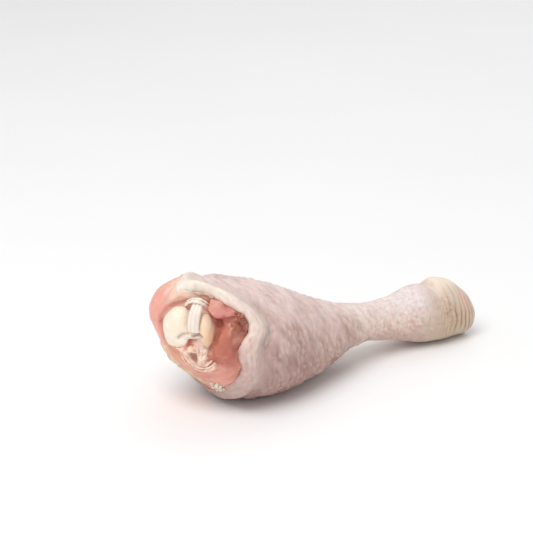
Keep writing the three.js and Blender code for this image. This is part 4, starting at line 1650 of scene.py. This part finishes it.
class DrumstickColours(bpy.types.PropertyGroup):
    """Colours of each kind of tissue, and of the painted shade and highlights on them."""

    skin: shade("Skin", "Skin on the sides of the leg", "DCC0B8")
    skin_top_light: shade("Pale skin", "Skin on top of the leg", "E8D5D1")
    skin_blotch: shade("Skin blotches", "Mauve and pink blotches", "CBA6A0")
    skin_grey: shade("Grey skin", "Greyer skin behind the rolled edge", "CBB9B4")
    skin_shade: shade("Skin creases", "Shade in the skin's creases", "AA857E")
    skin_low_shade: shade("Skin folds", "Darker skin low on the near side", "9A6F68")
    skin_under_shade: shade("Skin underneath", "Skin on the underside of the leg", "997670")
    follicle: shade("Follicle tips", "Pale tips of the follicles", "F2DFD3")
    shank: shade("Shank", "Skin of the shank", "EFDCD0")
    lilac: shade("Lilac skin", "Smooth lilac skin before the ankle knuckle", "EAE0E1")
    shank_grain: shade("Shank grain", "Warm grain of the shank", "D09F7F")
    waist_grain: shade("Waist grain", "Yellowish grain where the leg narrows", "DCC7A2")
    knuckle: shade("Ankle knuckle", "Skin over the ankle knuckle", "D9C6B0")
    ochre: shade("Ankle ochre", "Ochre patches on the ankle knuckle", "CBA780")
    crease: shade("Ankle creases", "Creases round the ankle knuckle", "A5805E")
    knuckle_under_shade: shade("Ankle underside", "Skin under the ankle knuckle", "C3B3A4")
    hock: shade("Hock", "Pale cap over the hock", "F0E3CE")
    hem: shade("Skin edge", "Fatty edge of the skin", "F5E9DC")
    lining: shade("Skin lining", "Inside of the skin", "EAC9BA")
    muscle: shade("Muscle", "Outer muscle", "EDAC9C")
    lower_lobe_highlight: shade("Light muscle", "Bulge of the lower lobe", "D88C7B")
    muscle_dark: shade("Dark muscle", "Lower lobe", "C0735F")
    deep_muscle_and_shade: shade("Deep muscle", "Creases between muscles", "A85348")
    low_muscle: shade("Low muscle", "Muscle at the bottom of the cut", "E3A090")
    lobe: shade("Upper lobe", "Upper lobe", "D98880")
    fringe: shade("Fringe", "Fatty fringe under the far knuckle", "DA9F74")
    fascia_and_highlight: shade("Fascia", "Thin film over the muscle", "F2C9B6")
    clot: shade("Clot", "Blood in the gap under the knuckle", "9A4136")
    slit_and_crease_shade: shade("Slit", "Inside of the torn capsule", "BC9382")
    bruise: shade("Bruise", "Bruised brown tissue in the notch", "A0634C")
    gristle: shade("Gristle", "Gristle of the knuckles", "FBEBD8")
    gristle_warm: shade("Warm gristle", "Near knuckle", "F8CFA9")
    gristle_mottle: shade("Gristle mottle", "Mottle in the gristle", "F2DCC6")
    gristle_shade: shade("Gristle shade", "Shade between the ribs", "C9AD98")
    marrow: shade("Marrow", "Bone end at the ankle", "D9A08C")
    tendon: shade("Tendon", "Tendons", "F8EFE5")
    capsule: shade("Capsule", "Torn capsule", "F6D6C4")
    capsule_mottle: shade("Capsule mottle", "Mottle in the capsule", "F3C4B2")
    capsule_shade: shade("Capsule shade", "Shade in the capsule", "D29B88")
    fat: shade("Fat", "Fat under the skin", "F8EBD6")
    fat_mottle: shade("Fat mottle", "Mottle in the fat", "F0DABF")
    strip: shade("Fat strip", "Tan fat", "DBAC8A")


class DrumstickStage(bpy.types.PropertyGroup):
    """Camera, floor and lights."""

    azimuth: FloatProperty(
        name="Azimuth", description="Turn of the camera round the leg",
        default=math.radians(-35), subtype="ANGLE", unit="ROTATION",
    )
    elevation: FloatProperty(
        name="Elevation", description="How high the camera looks from",
        default=math.radians(20), subtype="ANGLE", unit="ROTATION",
    )
    distance: FloatProperty(
        name="Distance", description="Distance from the camera to its aim",
        default=0.6194, min=0.1, max=5, unit="LENGTH",
    )
    lens: FloatProperty(
        name="Lens", description="Focal length", default=110, min=20, max=300, unit="CAMERA",
    )
    aim: FloatVectorProperty(
        name="Aim", description="Point the camera looks at", subtype="TRANSLATION", unit="LENGTH",
        default=tuple((np.array([39.443, 1.560, 48.195]) + ORIGIN) / 1000),
    )
    floor_colour: shade("Floor", "Floor", "FBFBFB")
    key_place: FloatVectorProperty(
        name="Key light place", description="Where the key light hangs", subtype="TRANSLATION",
        unit="LENGTH", default=(-0.55, -0.25, 1.0),
    )
    key_width: FloatProperty(
        name="Key light width", description="Width of the key light",
        default=0.8, min=0.05, unit="LENGTH",
    )
    key_power: FloatProperty(
        name="Key light power", description="Power of the key light",
        default=7.5, min=0, unit="POWER",
    )
    fill_place: FloatVectorProperty(
        name="Fill light place", description="Where the fill light hangs", subtype="TRANSLATION",
        unit="LENGTH", default=(0.7, 0.5, 0.9),
    )
    fill_width: FloatProperty(
        name="Fill light width", description="Width of the fill light",
        default=1.2, min=0.05, unit="LENGTH",
    )
    fill_power: FloatProperty(
        name="Fill light power", description="Power of the fill light",
        default=2.5, min=0, unit="POWER",
    )
    world_strength: FloatProperty(
        name="World light", description="Strength of the light from all round",
        default=0.56, min=0,
    )


SETTINGS = {
    "drumstick_sizes": DrumstickSizes,
    "drumstick_colours": DrumstickColours,
    "drumstick_stage": DrumstickStage,
}


# ---- Operators ----


class DRUMSTICK_OT_skin(bpy.types.Operator):
    """Add the skin, from its rolled hem at the knee to the ankle"""

    bl_idname = "drumstick.skin"
    bl_label = "Add Skin"
    bl_options = {"REGISTER", "UNDO"}

    def execute(self, context):
        build_skin(context.scene.drumstick_sizes, context.scene.drumstick_colours)
        return {"FINISHED"}


class DRUMSTICK_OT_meat(bpy.types.Operator):
    """Add the meat with the lobes of its cut face"""

    bl_idname = "drumstick.meat"
    bl_label = "Add Meat"
    bl_options = {"REGISTER", "UNDO"}

    def execute(self, context):
        build_meat(context.scene.drumstick_colours)
        return {"FINISHED"}


class DRUMSTICK_OT_bone(bpy.types.Operator):
    """Add the leg bone with its gristle knuckles"""

    bl_idname = "drumstick.bone"
    bl_label = "Add Leg Bone"
    bl_options = {"REGISTER", "UNDO"}

    def execute(self, context):
        build_bone(context.scene.drumstick_colours)
        return {"FINISHED"}


class DRUMSTICK_OT_tendon(bpy.types.Operator):
    """Add the tendon over the knee"""

    bl_idname = "drumstick.tendon"
    bl_label = "Add Knee Tendon"
    bl_options = {"REGISTER", "UNDO"}

    def execute(self, context):
        build_tendon(context.scene.drumstick_sizes, context.scene.drumstick_colours)
        return {"FINISHED"}


class DRUMSTICK_OT_tendon_rim(bpy.types.Operator):
    """Add the rim over the top of the knee's tendon"""

    bl_idname = "drumstick.tendon_rim"
    bl_label = "Add Tendon Rim"
    bl_options = {"REGISTER", "UNDO"}

    def execute(self, context):
        build_tendon_rim(context.scene.drumstick_colours)
        return {"FINISHED"}


class DRUMSTICK_OT_capsule(bpy.types.Operator):
    """Add the torn joint capsule"""

    bl_idname = "drumstick.capsule"
    bl_label = "Add Joint Capsule"
    bl_options = {"REGISTER", "UNDO"}

    def execute(self, context):
        build_capsule(context.scene.drumstick_colours)
        return {"FINISHED"}


class DRUMSTICK_OT_fat_layer(bpy.types.Operator):
    """Add the pad of fat at the top of the cut"""

    bl_idname = "drumstick.fat_layer"
    bl_label = "Add Fat Pad"
    bl_options = {"REGISTER", "UNDO"}

    def execute(self, context):
        build_fat_layer(context.scene.drumstick_colours)
        return {"FINISHED"}


class DRUMSTICK_OT_fat_strip(bpy.types.Operator):
    """Add the strip of fat down the far edge of the cut"""

    bl_idname = "drumstick.fat_strip"
    bl_label = "Add Fat Strip"
    bl_options = {"REGISTER", "UNDO"}

    def execute(self, context):
        build_fat_strip(context.scene.drumstick_colours)
        return {"FINISHED"}


class DRUMSTICK_OT_crumbs(bpy.types.Operator):
    """Add the crumbs of fat and the torn grains"""

    bl_idname = "drumstick.crumbs"
    bl_label = "Add Crumbs"
    bl_options = {"REGISTER", "UNDO"}

    def execute(self, context):
        build_crumbs(context.scene.drumstick_colours)
        return {"FINISHED"}


class DRUMSTICK_OT_ankle(bpy.types.Operator):
    """Add the cut tendons at the ankle"""

    bl_idname = "drumstick.ankle"
    bl_label = "Add Ankle Tendons"
    bl_options = {"REGISTER", "UNDO"}

    def execute(self, context):
        build_ankle(context.scene.drumstick_colours)
        return {"FINISHED"}


class DRUMSTICK_OT_stage(bpy.types.Operator):
    """Add the camera, the floor and the lights"""

    bl_idname = "drumstick.stage"
    bl_label = "Add Stage"
    bl_options = {"REGISTER", "UNDO"}

    def execute(self, context):
        build_stage(context.scene.drumstick_stage)
        return {"FINISHED"}


OPERATORS = (
    DRUMSTICK_OT_stage,
    DRUMSTICK_OT_skin,
    DRUMSTICK_OT_meat,
    DRUMSTICK_OT_bone,
    DRUMSTICK_OT_tendon,
    DRUMSTICK_OT_tendon_rim,
    DRUMSTICK_OT_capsule,
    DRUMSTICK_OT_fat_layer,
    DRUMSTICK_OT_fat_strip,
    DRUMSTICK_OT_crumbs,
    DRUMSTICK_OT_ankle,
)


class DRUMSTICK_PT_panel(bpy.types.Panel):
    """Lists the pieces of the drumstick."""

    bl_idname = "DRUMSTICK_PT_panel"
    bl_label = "Raw Drumstick"
    bl_space_type = "VIEW_3D"
    bl_region_type = "UI"
    bl_category = "Drumstick"

    def draw(self, context):
        for operator in OPERATORS:
            self.layout.operator(operator.bl_idname)
        for group in SETTINGS:
            box = self.layout.box()
            values = getattr(context.scene, group)
            for name in values.__annotations__:
                box.prop(values, name)


CLASSES = (*SETTINGS.values(), *OPERATORS, DRUMSTICK_PT_panel)


def register():
    for item in CLASSES:
        bpy.utils.register_class(item)
    for name, group in SETTINGS.items():
        setattr(bpy.types.Scene, name, PointerProperty(type=group))


def unregister():
    for name in SETTINGS:
        delattr(bpy.types.Scene, name)
    for item in reversed(CLASSES):
        bpy.utils.unregister_class(item)


def main():
    register()
    for operator in OPERATORS:
        getattr(bpy.ops.drumstick, operator.bl_idname.split(".")[1])()


if __name__ == "__main__":
    main()
